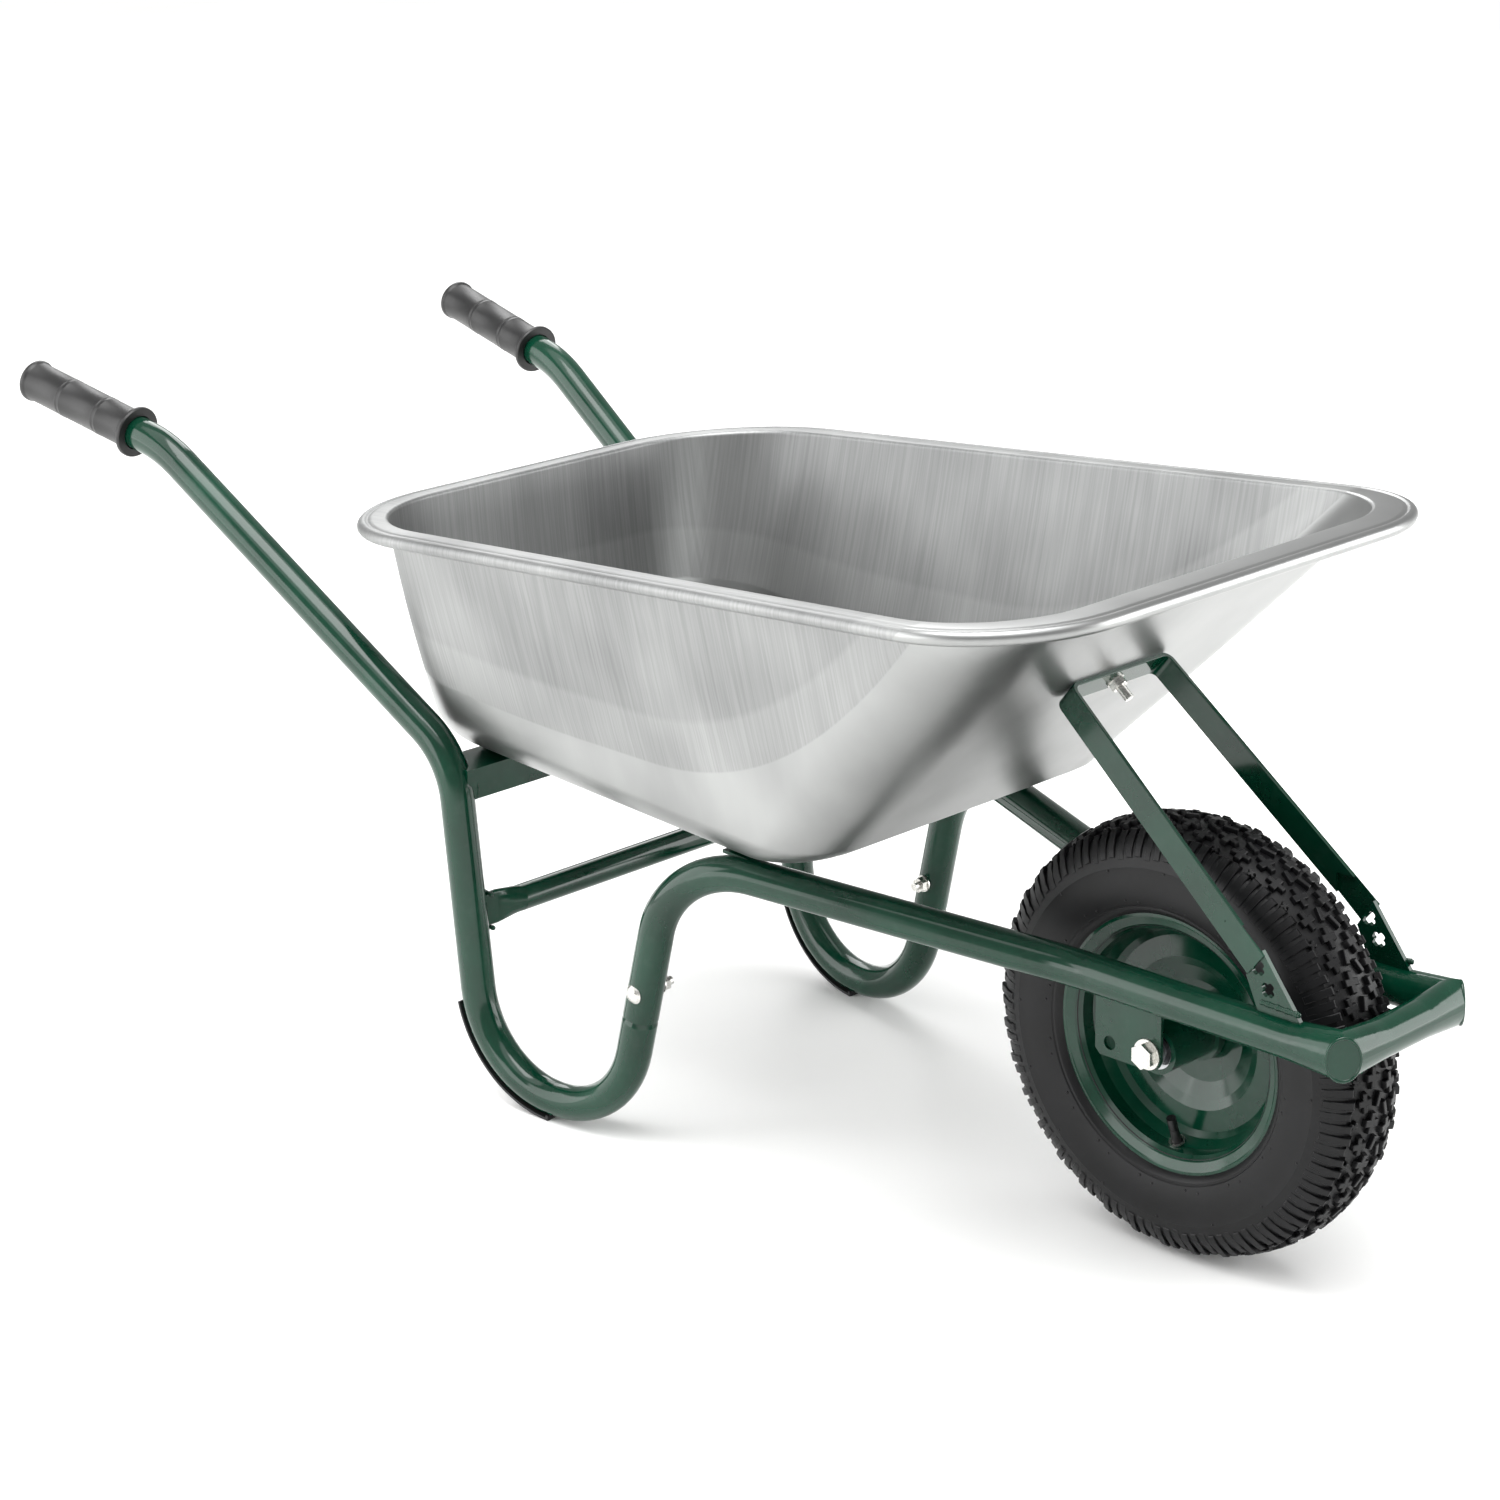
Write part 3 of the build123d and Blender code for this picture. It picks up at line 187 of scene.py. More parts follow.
def two_tone(name, tones, tone_grain, gloss, gloss_grain, relief, shader_values):
    """A material whose colour follows one grain, and its gloss and fine relief another.

    A grain is (size, detail), gloss the lowest and highest roughness, and relief the
    strength and depth of the bump.
    """
    material, tree, out = blank_material(name)
    fine = grain(tree, *gloss_grain)
    patch = fine if tone_grain == gloss_grain else grain(tree, *tone_grain)
    factor = add(tree, "ShaderNodeMapRange", values=spans(0, 1), links={"Value": patch})
    colour = add(tree, "ShaderNodeMix", COLOURS, shades(*tones), {"Factor": factor.outputs["Result"]})
    roughness = add(tree, "ShaderNodeMapRange", values=spans(*gloss), links={"Value": fine})
    strength, depth = relief
    bump = add(
        tree,
        "ShaderNodeBump",
        values={"Strength": strength, "Distance": depth},
        links={"Height": fine},
    )
    shader = add(
        tree,
        "ShaderNodeBsdfPrincipled",
        values=shader_values,
        links={
            "Base Color": colour.outputs["Result"],
            "Roughness": roughness.outputs["Result"],
            "Normal": bump.outputs["Normal"],
        },
    )
    tree.links.new(shader.outputs["BSDF"], out.inputs["Surface"])
    return material


def moss_green_powder_coat():
    """Glossy powder coat on steel: slight orange peel, cloudy gloss and a trace of grey dust."""
    material, tree, out = blank_material("moss_green_powder_coat")
    clouds = grain(tree, 60 * MM)
    cloudy = add(tree, "ShaderNodeMapRange", values=spans(0, 1), links={"Value": clouds})
    coat = add(
        tree,
        "ShaderNodeMix",
        COLOURS,
        shades("#02291B", "#033625"),
        {"Factor": cloudy.outputs["Result"]},
    )
    specks = grain(tree, 9 * MM, 4.0)
    dust = add(tree, "ShaderNodeMapRange", values=spans(0.0, 0.02, 0.5, 0.75), links={"Value": specks})
    dusty = add(
        tree,
        "ShaderNodeMix",
        COLOURS,
        {"B": linear("#7C8681")},
        {"Factor": dust.outputs["Result"], "A": coat.outputs["Result"]},
    )
    gloss = add(tree, "ShaderNodeMapRange", values=spans(0.1, 0.18), links={"Value": clouds})
    peel = add(
        tree,
        "ShaderNodeBump",
        values={"Strength": 0.15, "Distance": 0.06 * MM},
        links={"Height": grain(tree, 3 * MM, 1.0)},
    )
    shader = add(
        tree,
        "ShaderNodeBsdfPrincipled",
        values={"IOR": 1.5, "Specular IOR Level": 0.42},
        links={
            "Base Color": dusty.outputs["Result"],
            "Roughness": gloss.outputs["Result"],
            "Normal": peel.outputs["Normal"],
        },
    )
    tree.links.new(shader.outputs["BSDF"], out.inputs["Surface"])
    return material


def above_draw_line(tree):
    """How far a point is above the line that the press leaves around the walls, in metres."""
    place = add(tree, "ShaderNodeTexCoord").outputs["Object"]
    axes = add(tree, "ShaderNodeSeparateXYZ", links={"Vector": place}).outputs
    known = {"x": axes["X"], "z": axes["Z"]}
    sums = (
        ("ahead", "SUBTRACT", "x", DRAW_LINE_X),
        ("ahead", "MAXIMUM", "ahead", 0.0),
        ("climb", "POWER", "ahead", 2.0),
        ("behind", "MINIMUM", "x", 0.0),
        ("rise", "POWER", "behind", 2.0),
        ("line", "MULTIPLY_ADD", "climb", DRAW_LINE_CURVE, DRAW_LINE_Z),
        ("line", "MULTIPLY_ADD", "rise", DRAW_LINE_REAR_CURVE, "line"),
        ("above", "SUBTRACT", "z", "line"),
    )
    for result, operation, *terms in sums:
        numbers = {i: term for i, term in enumerate(terms) if term not in known}
        sources = {i: known[term] for i, term in enumerate(terms) if term in known}
        known[result] = add(tree, "ShaderNodeMath", {"operation": operation}, numbers, sources).outputs[0]
    return known["above"]


def drawing_marks(tree):
    """Upright marks, long on the side walls and the end walls alike."""
    # The marks are drawn a little coarser than the real ones, which are about 1 mm apart
    side_marks = grain(tree, 2 * MM, 3.0, stretch=(1, 0.02, 0.015))
    end_marks = grain(tree, 2 * MM, 3.0, stretch=(0.02, 1, 0.015))
    facing = add(tree, "ShaderNodeNewGeometry").outputs["True Normal"]
    sideways = add(tree, "ShaderNodeSeparateXYZ", links={"Vector": facing}).outputs["Y"]
    sideways = add(tree, "ShaderNodeMath", {"operation": "ABSOLUTE"}, links={0: sideways}).outputs[0]
    side_wall = add(tree, "ShaderNodeMapRange", values=spans(0, 1, 0.5, 0.7), links={"Value": sideways})
    return add(
        tree,
        "ShaderNodeMix",
        links={"Factor": side_wall.outputs["Result"], "A": end_marks, "B": side_marks},
    ).outputs["Result"]


def galvanised_drawn_sheet():
    """Zinc-coated sheet drawn in a press: satin metal, streaked above the draw line, smooth below."""
    material, tree, out = blank_material("galvanised_drawn_sheet")
    above = above_draw_line(tree)
    zones = []
    for start, edge in ((0.0, DRAW_LINE_EDGE), (SECOND_LINE_RISE, SECOND_LINE_EDGE)):
        span = spans(0.0, 1.0, start, start + edge)
        zones.append(add(tree, "ShaderNodeMapRange", values=span, links={"Value": above}).outputs["Result"])
    drawn = zones[0]
    marks = drawing_marks(tree)
    streak = add(
        tree,
        "ShaderNodeMapRange",
        values=spans(-STREAK_TONE, STREAK_TONE, 0.35, 0.65),
        links={"Value": marks},
    ).outputs["Result"]
    cloud = add(
        tree,
        "ShaderNodeMapRange",
        values=spans(0.3, 0.65),
        links={"Value": grain(tree, 120 * MM, 2.0, stretch=(1, 1, 0.7))},
    ).outputs["Result"]
    tone = add(
        tree,
        "ShaderNodeMath",
        {"operation": "MULTIPLY_ADD"},
        links={0: streak, 1: drawn, 2: cloud},
    ).outputs[0]
    for zone, change in zip(zones, (DRAWN_TONE, SECOND_TONE)):
        tone = add(
            tree,
            "ShaderNodeMath",
            {"operation": "MULTIPLY_ADD"},
            {1: change},
            {0: zone, 2: tone},
        ).outputs[0]
    scuffs = grain(tree, 14 * MM, 3.0, stretch=(1, 1, 0.12))
    tone = add(
        tree,
        "ShaderNodeMath",
        {"operation": "MULTIPLY_ADD", "use_clamp": True},
        {1: SCUFF_TONE},
        {0: scuffs, 2: tone},
    ).outputs[0]
    colour = add(tree, "ShaderNodeMix", COLOURS, shades("#7B7C7C", "#B0B1B0"), {"Factor": tone})
    gloss = add(tree, "ShaderNodeMapRange", values=spans(0.36, 0.5, 0.0, 1.0), links={"Value": drawn})
    waves = add(
        tree,
        "ShaderNodeBump",
        values={"Strength": 0.6, "Distance": 9 * MM},
        links={"Height": grain(tree, 170 * MM, 1.0)},
    )
    upright = add(tree, "ShaderNodeMath", {"operation": "MULTIPLY"}, links={0: marks, 1: drawn})
    bump = add(
        tree,
        "ShaderNodeBump",
        values={"Strength": 0.3, "Distance": 0.15 * MM},
        links={"Height": upright.outputs[0], "Normal": waves.outputs["Normal"]},
    )
    shader = add(
        tree,
        "ShaderNodeBsdfPrincipled",
        values={"Metallic": 1.0},
        links={
            "Base Color": colour.outputs["Result"],
            "Roughness": gloss.outputs["Result"],
            "Normal": bump.outputs["Normal"],
        },
    )
    tree.links.new(shader.outputs["BSDF"], out.inputs["Surface"])
    return material


def moulded_tyre_rubber():
    """Carbon-black rubber from a steel mould: dull, with a fine grain and grey bloom."""
    return two_tone(
        "moulded_tyre_rubber",
        ("#070708", "#0E0E10"),
        (35 * MM, 3.0),
        (0.34, 0.48),
        (0.9 * MM, 2.0),
        (0.2, 0.12 * MM),
        {"IOR": 1.4, "Specular IOR Level": 0.35},
    )


def plain_moulding(name, dark, light, grit, rough, depth):
    """A moulded black plastic or rubber with a fine spark-eroded grain."""
    gloss = (rough - 0.06, rough + 0.06)
    return two_tone(name, (dark, light), (30 * MM, 2.0), gloss, (grit, 2.0), (0.25, depth), {"IOR": 1.5})


def plated_metal(name, dark, light, grit, rough):
    """A bare or plated steel with small crystals that differ in tone and gloss."""
    crystals = (grit, 3.0)
    gloss = (rough - 0.05, rough + 0.07)
    return two_tone(name, (dark, light), crystals, gloss, crystals, (0.1, 0.03 * MM), {"Metallic": 1.0})


finishes = {
    "green_paint": moss_green_powder_coat(),
    "galvanised": galvanised_drawn_sheet(),
    "tyre_rubber": moulded_tyre_rubber(),
    # Soft vinyl dipped or moulded over the tube: satin black
    "grip_rubber": plain_moulding("soft_black_vinyl", "#080808", "#0F0F10", 0.8 * MM, 0.42, 0.08 * MM),
    # Hard polypropylene, scuffed matt
    "skid_plastic": plain_moulding("black_polypropylene", "#121213", "#1B1B1C", 1.2 * MM, 0.55, 0.1 * MM),
    # Butyl rubber of the tube and valve: darker and smoother than the tyre
    "tube_rubber": plain_moulding("butyl_rubber", "#101011", "#171718", 1.0 * MM, 0.48, 0.06 * MM),
    # Glossy nylon of the valve cap
    "cap_plastic": plain_moulding("black_nylon", "#0E0E0F", "#141415", 1.5 * MM, 0.32, 0.03 * MM),
    # Bright zinc plate: pale, slightly warm, clouded by small crystals
    "zinc": plated_metal("bright_zinc_plate", "#C6C5C0", "#D6D5D1", 2.5 * MM, 0.27),
    # Ground bearing steel: cool, nearly mirror bright
    "bearing_steel": plated_metal("ground_bearing_steel", "#A5A7A9", "#BDBFC1", 1.2 * MM, 0.16),
    # Turned mild steel: grey, dull
    "plain_steel": plated_metal("turned_mild_steel", "#8E8F90", "#A9AAAB", 1.0 * MM, 0.36),
}


# ---------- making pieces ----------

def finish_piece(mesh, name, body, slot, smooth_angle=35):
    """A bmesh made into a named piece that rides on a body with its slot's finish."""
    bmesh.ops.remove_doubles(mesh, verts=mesh.verts, dist=0.005 * MM)
    bmesh.ops.recalc_face_normals(mesh, faces=mesh.faces)
    for face in mesh.faces:
        face.smooth = True
    for edge in mesh.edges:
        edge.smooth = len(edge.link_faces) < 2 or edge.calc_face_angle(0) < radians(smooth_angle)
    data = bpy.data.meshes.new(name)
    mesh.to_mesh(data)
    mesh.free()
    piece = bpy.data.objects.new(name, data)
    bpy.context.scene.collection.objects.link(piece)
    data.materials.append(finishes[slot])
    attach(piece, body)
    return piece


def spun(mesh, section, axis, steps):
    """A section of verts and edges carried a full turn around an axis through the origin."""
    bmesh.ops.spin(mesh, geom=section, cent=(0, 0, 0), axis=axis, angle=2 * pi, steps=steps, use_merge=True)


def section_chain(mesh, points):
    """A closed chain of edges through (radius, sideways) points, around the wheel's axis."""
    verts = [mesh.verts.new((r, y, 0)) for r, y in points]
    edges = [mesh.edges.new(pair) for pair in zip(verts, verts[1:] + verts[:1])]
    return verts + edges


def crown_radius(y):
    """Radius of the tread's outer surface at a distance from the wheel's middle plane."""
    return CROWN_R - CROWN_FALL * y * y


def tyre_outline():
    """(radius, sideways) points of the tyre's skin and its inner wall."""
    bead = [(99, 29), (104, 30.2), (108.5, 31.2), (111.6, 34.6), (113.5, 37.2), (116, 38.7)]
    rings = [(118, 38.9), (119, 39.9), (126, 41.8), (134, 42.8), (143, 43.3), (150.5, 43.2), (151.5, 43.4)]
    shoulder = [(153, 43), (160, 41.2), (167, 38.6), (172.5, 35), (176, 31)]
    right = [(r * MM, -y * MM) for r, y in bead + rings + shoulder]
    crown = [(crown_radius(y * MM) - TREAD_DEPTH, y * MM) for y in range(-27, 28, 6)]
    left = [(r, -y) for r, y in reversed(right)]
    inner = [(r * MM, y * MM) for r, y in ((100, 24), (116, 33), (143, 38), (166, 31), (176, 12))]
    return right + crown + left + inner + [(r, -y) for r, y in reversed(inner)]


def tyre_body():
    """The carcass: sidewalls with their moulded rings, and the floor of the tread's grooves."""
    mesh = bmesh.new()
    chain = section_chain(mesh, tyre_outline())
    spun(mesh, chain, (0, 1, 0), TYRE_STEPS)
    bmesh.ops.translate(mesh, verts=mesh.verts, vec=axle)
    return mesh


def cross_block(length, width, height):
    """A plus-shaped tread block on the ground plane, growing up along Z."""
    mesh = bmesh.new()
    bmesh.ops.create_grid(mesh, x_segments=3, y_segments=3, size=0.5)
    corners = [f for f in mesh.faces if abs(f.calc_center_median().x * f.calc_center_median().y) > 0.05]
    bmesh.ops.delete(mesh, geom=corners, context="FACES")
    bmesh.ops.scale(mesh, verts=mesh.verts, vec=(length, width, 1))
    return raised(mesh, height)


def bar_block(length, width, height):
    """A plain oblong tread block on the ground plane, growing up along Z."""
    mesh = bmesh.new()
    bmesh.ops.create_grid(mesh, x_segments=1, y_segments=1, size=0.5)
    bmesh.ops.scale(mesh, verts=mesh.verts, vec=(length, width, 1))
    return raised(mesh, height)


def raised(mesh, height):
    """A flat outline pulled up into a block with drafted sides and a softened top edge."""
    base = list(mesh.faces)
    top = bmesh.ops.extrude_face_region(mesh, geom=base)["geom"]
    top_verts = [v for v in top if isinstance(v, bmesh.types.BMVert)]
    bmesh.ops.translate(mesh, verts=top_verts, vec=(0, 0, height))
    bmesh.ops.scale(mesh, verts=top_verts, vec=(BLOCK_DRAFT, BLOCK_DRAFT, 1))
    rim = [e for e in mesh.edges if all(v in top_verts for v in e.verts) and e.is_manifold]
    rim = [e for e in rim if e.calc_face_angle(0) > 0.5]
    bmesh.ops.bevel(mesh, geom=rim, offset=BLOCK_EDGE, segments=1, profile=0.5, affect="EDGES", material=-1)
    return mesh


def add_copy(target, shape, place):
    """A copy of a shape's mesh put into a larger mesh at a place."""
    copy = shape.copy()
    bmesh.ops.transform(copy, matrix=place, verts=copy.verts)
    data = bpy.data.meshes.new("copy")
    copy.to_mesh(data)
    copy.free()
    target.from_mesh(data)
    bpy.data.meshes.remove(data)


def on_tread(turn, y, depth, twist=0.0):
    """Where a block stands on the tread: its Z outwards, its X around the tyre."""
    lean = -2 * CROWN_FALL * y
    outwards = Matrix.Translation(axle) @ Matrix.Rotation(turn, 4, "Y")
    lifted = Matrix.Translation((0, y, crown_radius(y) - depth))
    return outwards @ lifted @ Matrix.Rotation(lean, 4, "X") @ Matrix.Rotation(twist, 4, "Z")


def tread_blocks():
    """Two staggered rows of crosses on each side, centre bars and small shoulder lugs."""
    mesh = bmesh.new()
    root = TREAD_DEPTH + BLOCK_SINK
    cross = cross_block(19.5 * MM, 14.5 * MM, root)
    side_cross = cross_block(18.5 * MM, 13 * MM, root)
    centre = bar_block(13 * MM, 4.2 * MM, root)
    lug = cross_block(9 * MM, 7 * MM, root)
    pitch = 2 * pi / TREAD_PITCHES
    for side in (1, -1):
        for step in range(TREAD_PITCHES):
            turn = pitch * (step + (0.25 if side > 0 else 0))
            half = turn + pitch / 2
            add_copy(mesh, cross, on_tread(turn, side * 9.6 * MM, root, side * 0.12))
            add_copy(mesh, side_cross, on_tread(half, side * 17.5 * MM, root, side * -0.1))
            add_copy(mesh, centre, on_tread(half, side * 4.2 * MM, root, side * 0.32))
            add_copy(mesh, lug, on_tread(turn, side * 25 * MM, root, side * 0.5))
    for shape in (cross, side_cross, centre, lug):
        shape.free()
    return mesh


def shoulder_bars():
    """The row of flat bars that wraps each shoulder, parted by narrow slits."""
    mesh = bmesh.new()
    bar = bmesh.new()
    bmesh.ops.create_cube(bar, size=1.0)
    along = [e for e in bar.edges if abs(e.verts[0].co.z - e.verts[1].co.z) > 0.5]
    bmesh.ops.subdivide_edges(bar, edges=along, cuts=3)
    bmesh.ops.scale(bar, verts=bar.verts, vec=BAR_SIZE)
    for vert in bar.verts:
        share = 2 * vert.co.z / BAR_SIZE[2]
        vert.co.y -= BAR_CURL * share * share
        vert.co.x *= 1 - BAR_TAPER + BAR_TAPER * share
    outer = [e for e in bar.edges if all(v.co.y > -1 * MM for v in e.verts) and e.calc_face_angle(0) > 0.8]
    bmesh.ops.bevel(bar, geom=outer, offset=BAR_EDGE, segments=1, profile=0.5, affect="EDGES", material=-1)
    for side in (1, -1):
        for step in range(SHOULDER_BARS):
            turn = 2 * pi * (step + (0.5 if side > 0 else 0)) / SHOULDER_BARS
            drop = BAR_STEPS[step % len(BAR_STEPS)]
            place = Matrix.Translation(axle) @ Matrix.Rotation(turn, 4, "Y")
            place = place @ Matrix.Scale(side, 4, (0, 1, 0)) @ Matrix.Translation((0, BAR_Y, BAR_R - drop))
            add_copy(mesh, bar, place @ Matrix.Rotation(radians(BAR_LEAN), 4, "X"))
    bar.free()
    return mesh


# ---------- the tray ----------

tray_low, tray_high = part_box("tray")
# Outlines: rear x, front x, rear half width, front half width, rear and front corner radius
RIM = (tray_low.x, tray_high.x, tray_high.y - 18 * MM, tray_high.y + 3 * MM, 150 * MM, 122 * MM)
MOUTH = (RIM[0] + 28 * MM, RIM[1] - 41 * MM, RIM[2] - 28 * MM, RIM[3] - 28 * MM, 122 * MM, 94 * MM)
FLOOR = (RIM[0] + 50 * MM, RIM[1] - 350 * MM, 185 * MM, 185 * MM, 72 * MM, 56 * MM)
RIM_RISE = 59.0 * MM
FLOOR_FALL = 27.1 * MM
BEND_R = 37 * MM
WALL_CROWN = 2.5 * MM
WALL_SHARES = (0.15, 0.3, 0.45, 0.6, 0.75, 0.9)
LIP_R = 4 * MM
# The shallow groove pressed along the flange: distance from the edge and height, in mm
FLANGE_GROOVE = ((7.2, 1.0), (8.2, 0.1), (9.4, -0.2), (10.6, 0.3), (12, 1.1), (14, 1.2))


def inset(shape, amount):
    """An outline moved inwards all round; its radii shrink with it."""
    signs = (1, -1, -1, -1, -1, -1)
    return tuple(value + sign * amount for value, sign in zip(shape, signs))


def mixed(first, second, share):
    """A value or an outline part of the way from the first to the second."""
    if isinstance(first, tuple):
        return tuple(mixed(a, b, share) for a, b in zip(first, second))
    return first + (second - first) * share


def ring(mesh, shape, rear_z, front_z):
    """The edges of a closed outline with rounded corners, slanted from rear to front.

    The outline is (rear x, front x, rear half, front half, rear radius, front radius).
    """
    rear_x, front_x, rear_half, front_half, rear_r, front_r = shape
    toe = (front_half - rear_half) / (front_x - rear_x)
    ends = [(rear_x, rear_half, rear_z), (front_x, front_half, front_z)]
    ends += [(front_x, -front_half, front_z), (rear_x, -rear_half, rear_z)]
    corners = [mesh.verts.new(end) for end in ends]
    mesh.faces.new(corners)
    rear_pair, front_pair = [corners[0], corners[3]], [corners[1], corners[2]]
    rear_reach, front_reach = rear_r * tan(pi / 4 - toe / 2), front_r * tan(pi / 4 + toe / 2)
    for pair, reach in ((rear_pair, rear_reach), (front_pair, front_reach)):
        bmesh.ops.bevel(
            mesh, geom=pair, offset=reach, segments=CORNER_STEPS, profile=0.5, affect="VERTICES", material=-1
        )
    edges = list(mesh.faces[:][0].edges)
    bmesh.ops.delete(mesh, geom=mesh.faces[:], context="FACES_ONLY")
    return edges


def rim_ring(mesh, shape, height):
    """An outline in the rim's slanted plane, raised by a height."""
    slope = RIM_RISE / (RIM[1] - RIM[0])
    base = tray_high.z - SHEET - RIM_RISE + height
    return ring(mesh, shape, base + slope * (shape[0] - RIM[0]), base + slope * (shape[1] - RIM[0]))


def floor_ring(mesh, shape, height):
    """An outline in the floor's slanted plane, raised by a height."""
    slope = -FLOOR_FALL / (FLOOR[1] - FLOOR[0])
    base = tray_low.z + FLOOR_FALL + height
    return ring(mesh, shape, base + slope * (shape[0] - FLOOR[0]), base + slope * (shape[1] - FLOOR[0]))


def tray_shell():
    """Rolled edge, flange, lip, drawn walls and floor of the tray, one sheet thick."""
    mesh = bmesh.new()
    rings = []
    for degrees in range(-190, 91, 20):
        turn = radians(degrees)
        height = SHEET - ROLL_R + ROLL_R * sin(turn)
        rings.append(rim_ring(mesh, inset(RIM, ROLL_R * (1 - cos(turn))), height))
    for reach, height in FLANGE_GROOVE:
        rings.append(rim_ring(mesh, inset(RIM, reach * MM), height * MM))
    for degrees in range(0, 91, 18):
        turn = radians(degrees)
        rings.append(rim_ring(mesh, inset(MOUTH, LIP_R * (sin(turn) - 1)), SHEET - LIP_R * (1 - cos(turn))))
    slope = RIM_RISE / (RIM[1] - RIM[0])
    mouth_z = tuple(tray_high.z - RIM_RISE - LIP_R + slope * (MOUTH[i] - RIM[0]) for i in (0, 1))
    wall_end = 1 - BEND_R / (mouth_z[0] - tray_low.z - FLOOR_FALL)
    bend_top = mixed(MOUTH, FLOOR, wall_end)
    bend_z = (tray_low.z + FLOOR_FALL + BEND_R, tray_low.z + BEND_R)
    for share in WALL_SHARES:
        shape = inset(mixed(MOUTH, bend_top, share), -WALL_CROWN * sin(pi * share))
        heights = mixed(mouth_z, bend_z, share)
        rings.append(ring(mesh, shape, *heights))
    for degrees in range(0, 91, 10):
        turn = radians(degrees)
        shape = mixed(MOUTH, FLOOR, mixed(wall_end, 1, sin(turn)))
        rings.append(floor_ring(mesh, inset(shape, BEND_R * (1 - cos(turn))), BEND_R * (1 - sin(turn))))
    for first, second in zip(rings, rings[1:]):
        bmesh.ops.bridge_loops(mesh, edges=first + second)
    bmesh.ops.contextual_create(mesh, geom=rings[-1])
    return mesh


def put_tray():
    """The tray with its sheet's thickness."""
    tray = finish_piece(tray_shell(), "pressed_tray", "frame", "galvanised", 40)
    wall = tray.modifiers.new("sheet", "SOLIDIFY")
    wall.thickness = SHEET
    wall.offset = -1
    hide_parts("tray")


def sidewall_vents():
    """Pairs of small pips that the mould's vents leave on each sidewall."""
    mesh = bmesh.new()
    for side in (1, -1):
        for step in range(VENT_TURNS):
            for radius, y, lag in VENTS:
                turn = 2 * pi * step / VENT_TURNS + lag
                place = Matrix.Translation(axle) @ Matrix.Rotation(turn, 4, "Y")
                place = place @ Matrix.Translation((0, side * y * MM, radius * MM))
                size = Matrix.Diagonal((*VENT_SIZE, 1))
                bmesh.ops.create_icosphere(mesh, subdivisions=2, radius=1.0, matrix=place @ size)
    return mesh


def put_tyre():
    """The tyre's carcass and its tread."""
    tyre = finish_piece(tyre_body(), "tyre_carcass", "wheel", "tyre_rubber", 25)
    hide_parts("tyre")
    finish_piece(tread_blocks(), "tread_blocks", "wheel", "tyre_rubber", 30)
    finish_piece(shoulder_bars(), "shoulder_bars", "wheel", "tyre_rubber", 30)
    finish_piece(sidewall_vents(), "sidewall_vents", "wheel", "tyre_rubber", 60)


# ---------- grips ----------

GRIP_RUN = Vector((-185.4, 18.9, 41.0)).normalized()
GRIP_STEPS = 48
# In mm: the hand's radius, and the faint moulding rings' distances and height
GRIP_R = 19
GRIP_RINGS = (52, 57, 104, 109)
GRIP_RING_RISE = 0.25
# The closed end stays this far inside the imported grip's
GRIP_SINK = 0.4 * MM


def end_middle(node, direction):
    """The middle of a node's far end along a direction."""
    points = [v.co for v in frame["nodes"][node].data.vertices]
    far = max(p.dot(direction) for p in points)
    tip = [p for p in points if p.dot(direction) > far - 0.5 * MM]
    low = Vector([min(p[i] for p in tip) for i in range(3)])
    high = Vector([max(p[i] for p in tip) for i in range(3)])
    return (low + high) / 2


def grip_outline():
    """(radius, distance from the closed end) points of a grip's skin and its bore."""
    skin = [(0, 1.2), (14, 1.2), (16.2, 0.9), (17.6, 0), (19.4, 0.3), (20.5, 1.8), (20.5, 4.6), (19.6, 6)]
    skin.append((GRIP_R, 7.5))
    for middle in GRIP_RINGS:
        top = GRIP_R + GRIP_RING_RISE
        skin += [(GRIP_R, middle - 1), (top, middle - 0.5), (top, middle + 0.5), (GRIP_R, middle + 1)]
    flange = [(GRIP_R, 140), (19.4, 143.5), (21, 146), (24, 147), (24.9, 148.2), (24.9, 150.6), (24, 151.8)]
    bore = [(17, 152), (16.1, 151.2), (16.1, 5), (0, 5)]
    return [Vector((r * MM, 0, -z * MM)) for r, z in skin + flange + bore]


def put_grips():
    """Soft grips with a rimmed end, faint moulding rings and a flange that stops the hand."""
    for side, name in ((1, "left"), (-1, "right")):
        run = Vector((GRIP_RUN.x, side * GRIP_RUN.y, GRIP_RUN.z))
        mesh = bmesh.new()
        verts = [mesh.verts.new(p) for p in grip_outline()]
        chain = verts + [mesh.edges.new(pair) for pair in zip(verts, verts[1:])]
        spun(mesh, chain, (0, 0, 1), GRIP_STEPS)
        aim = run.to_track_quat("Z", "Y").to_matrix().to_4x4()
        place = Matrix.Translation(end_middle("grip_" + name, run) - run * GRIP_SINK) @ aim
        bmesh.ops.transform(mesh, matrix=place, verts=mesh.verts)
        grip = finish_piece(mesh, "moulded_grip_" + name, "frame", "grip_rubber", 40)
        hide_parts("grip_" + name)


# ---------- weld beads ----------

def weld_bead(mesh, start, end, radius):
    """Overlapping ripples of weld metal from one point to another."""
    start, end = Vector(start), Vector(end)
    count = max(3, round((end - start).length / (radius * 0.7)))
    lie = (end - start).to_track_quat("X", "Z").to_matrix().to_4x4()
    for step in range(count):
        share = step / (count - 1)
        swell = 1 + 0.12 * sin(5.1 * step) + 0.06 * sin(2.3 * step)
        place = Matrix.Translation(start.lerp(end, share)) @ lie
        size = Matrix.Diagonal((0.75 * radius, radius * swell, radius * swell, 1))
        bmesh.ops.create_uvsphere(mesh, u_segments=10, v_segments=6, radius=1.0, matrix=place @ size)


def mirrored_pair(points):
    """Start and end points of a bead and of its mirror image on the other side."""
    return [[Vector((p[0], side * p[1], p[2])) for p in points] for side in (1, -1)]


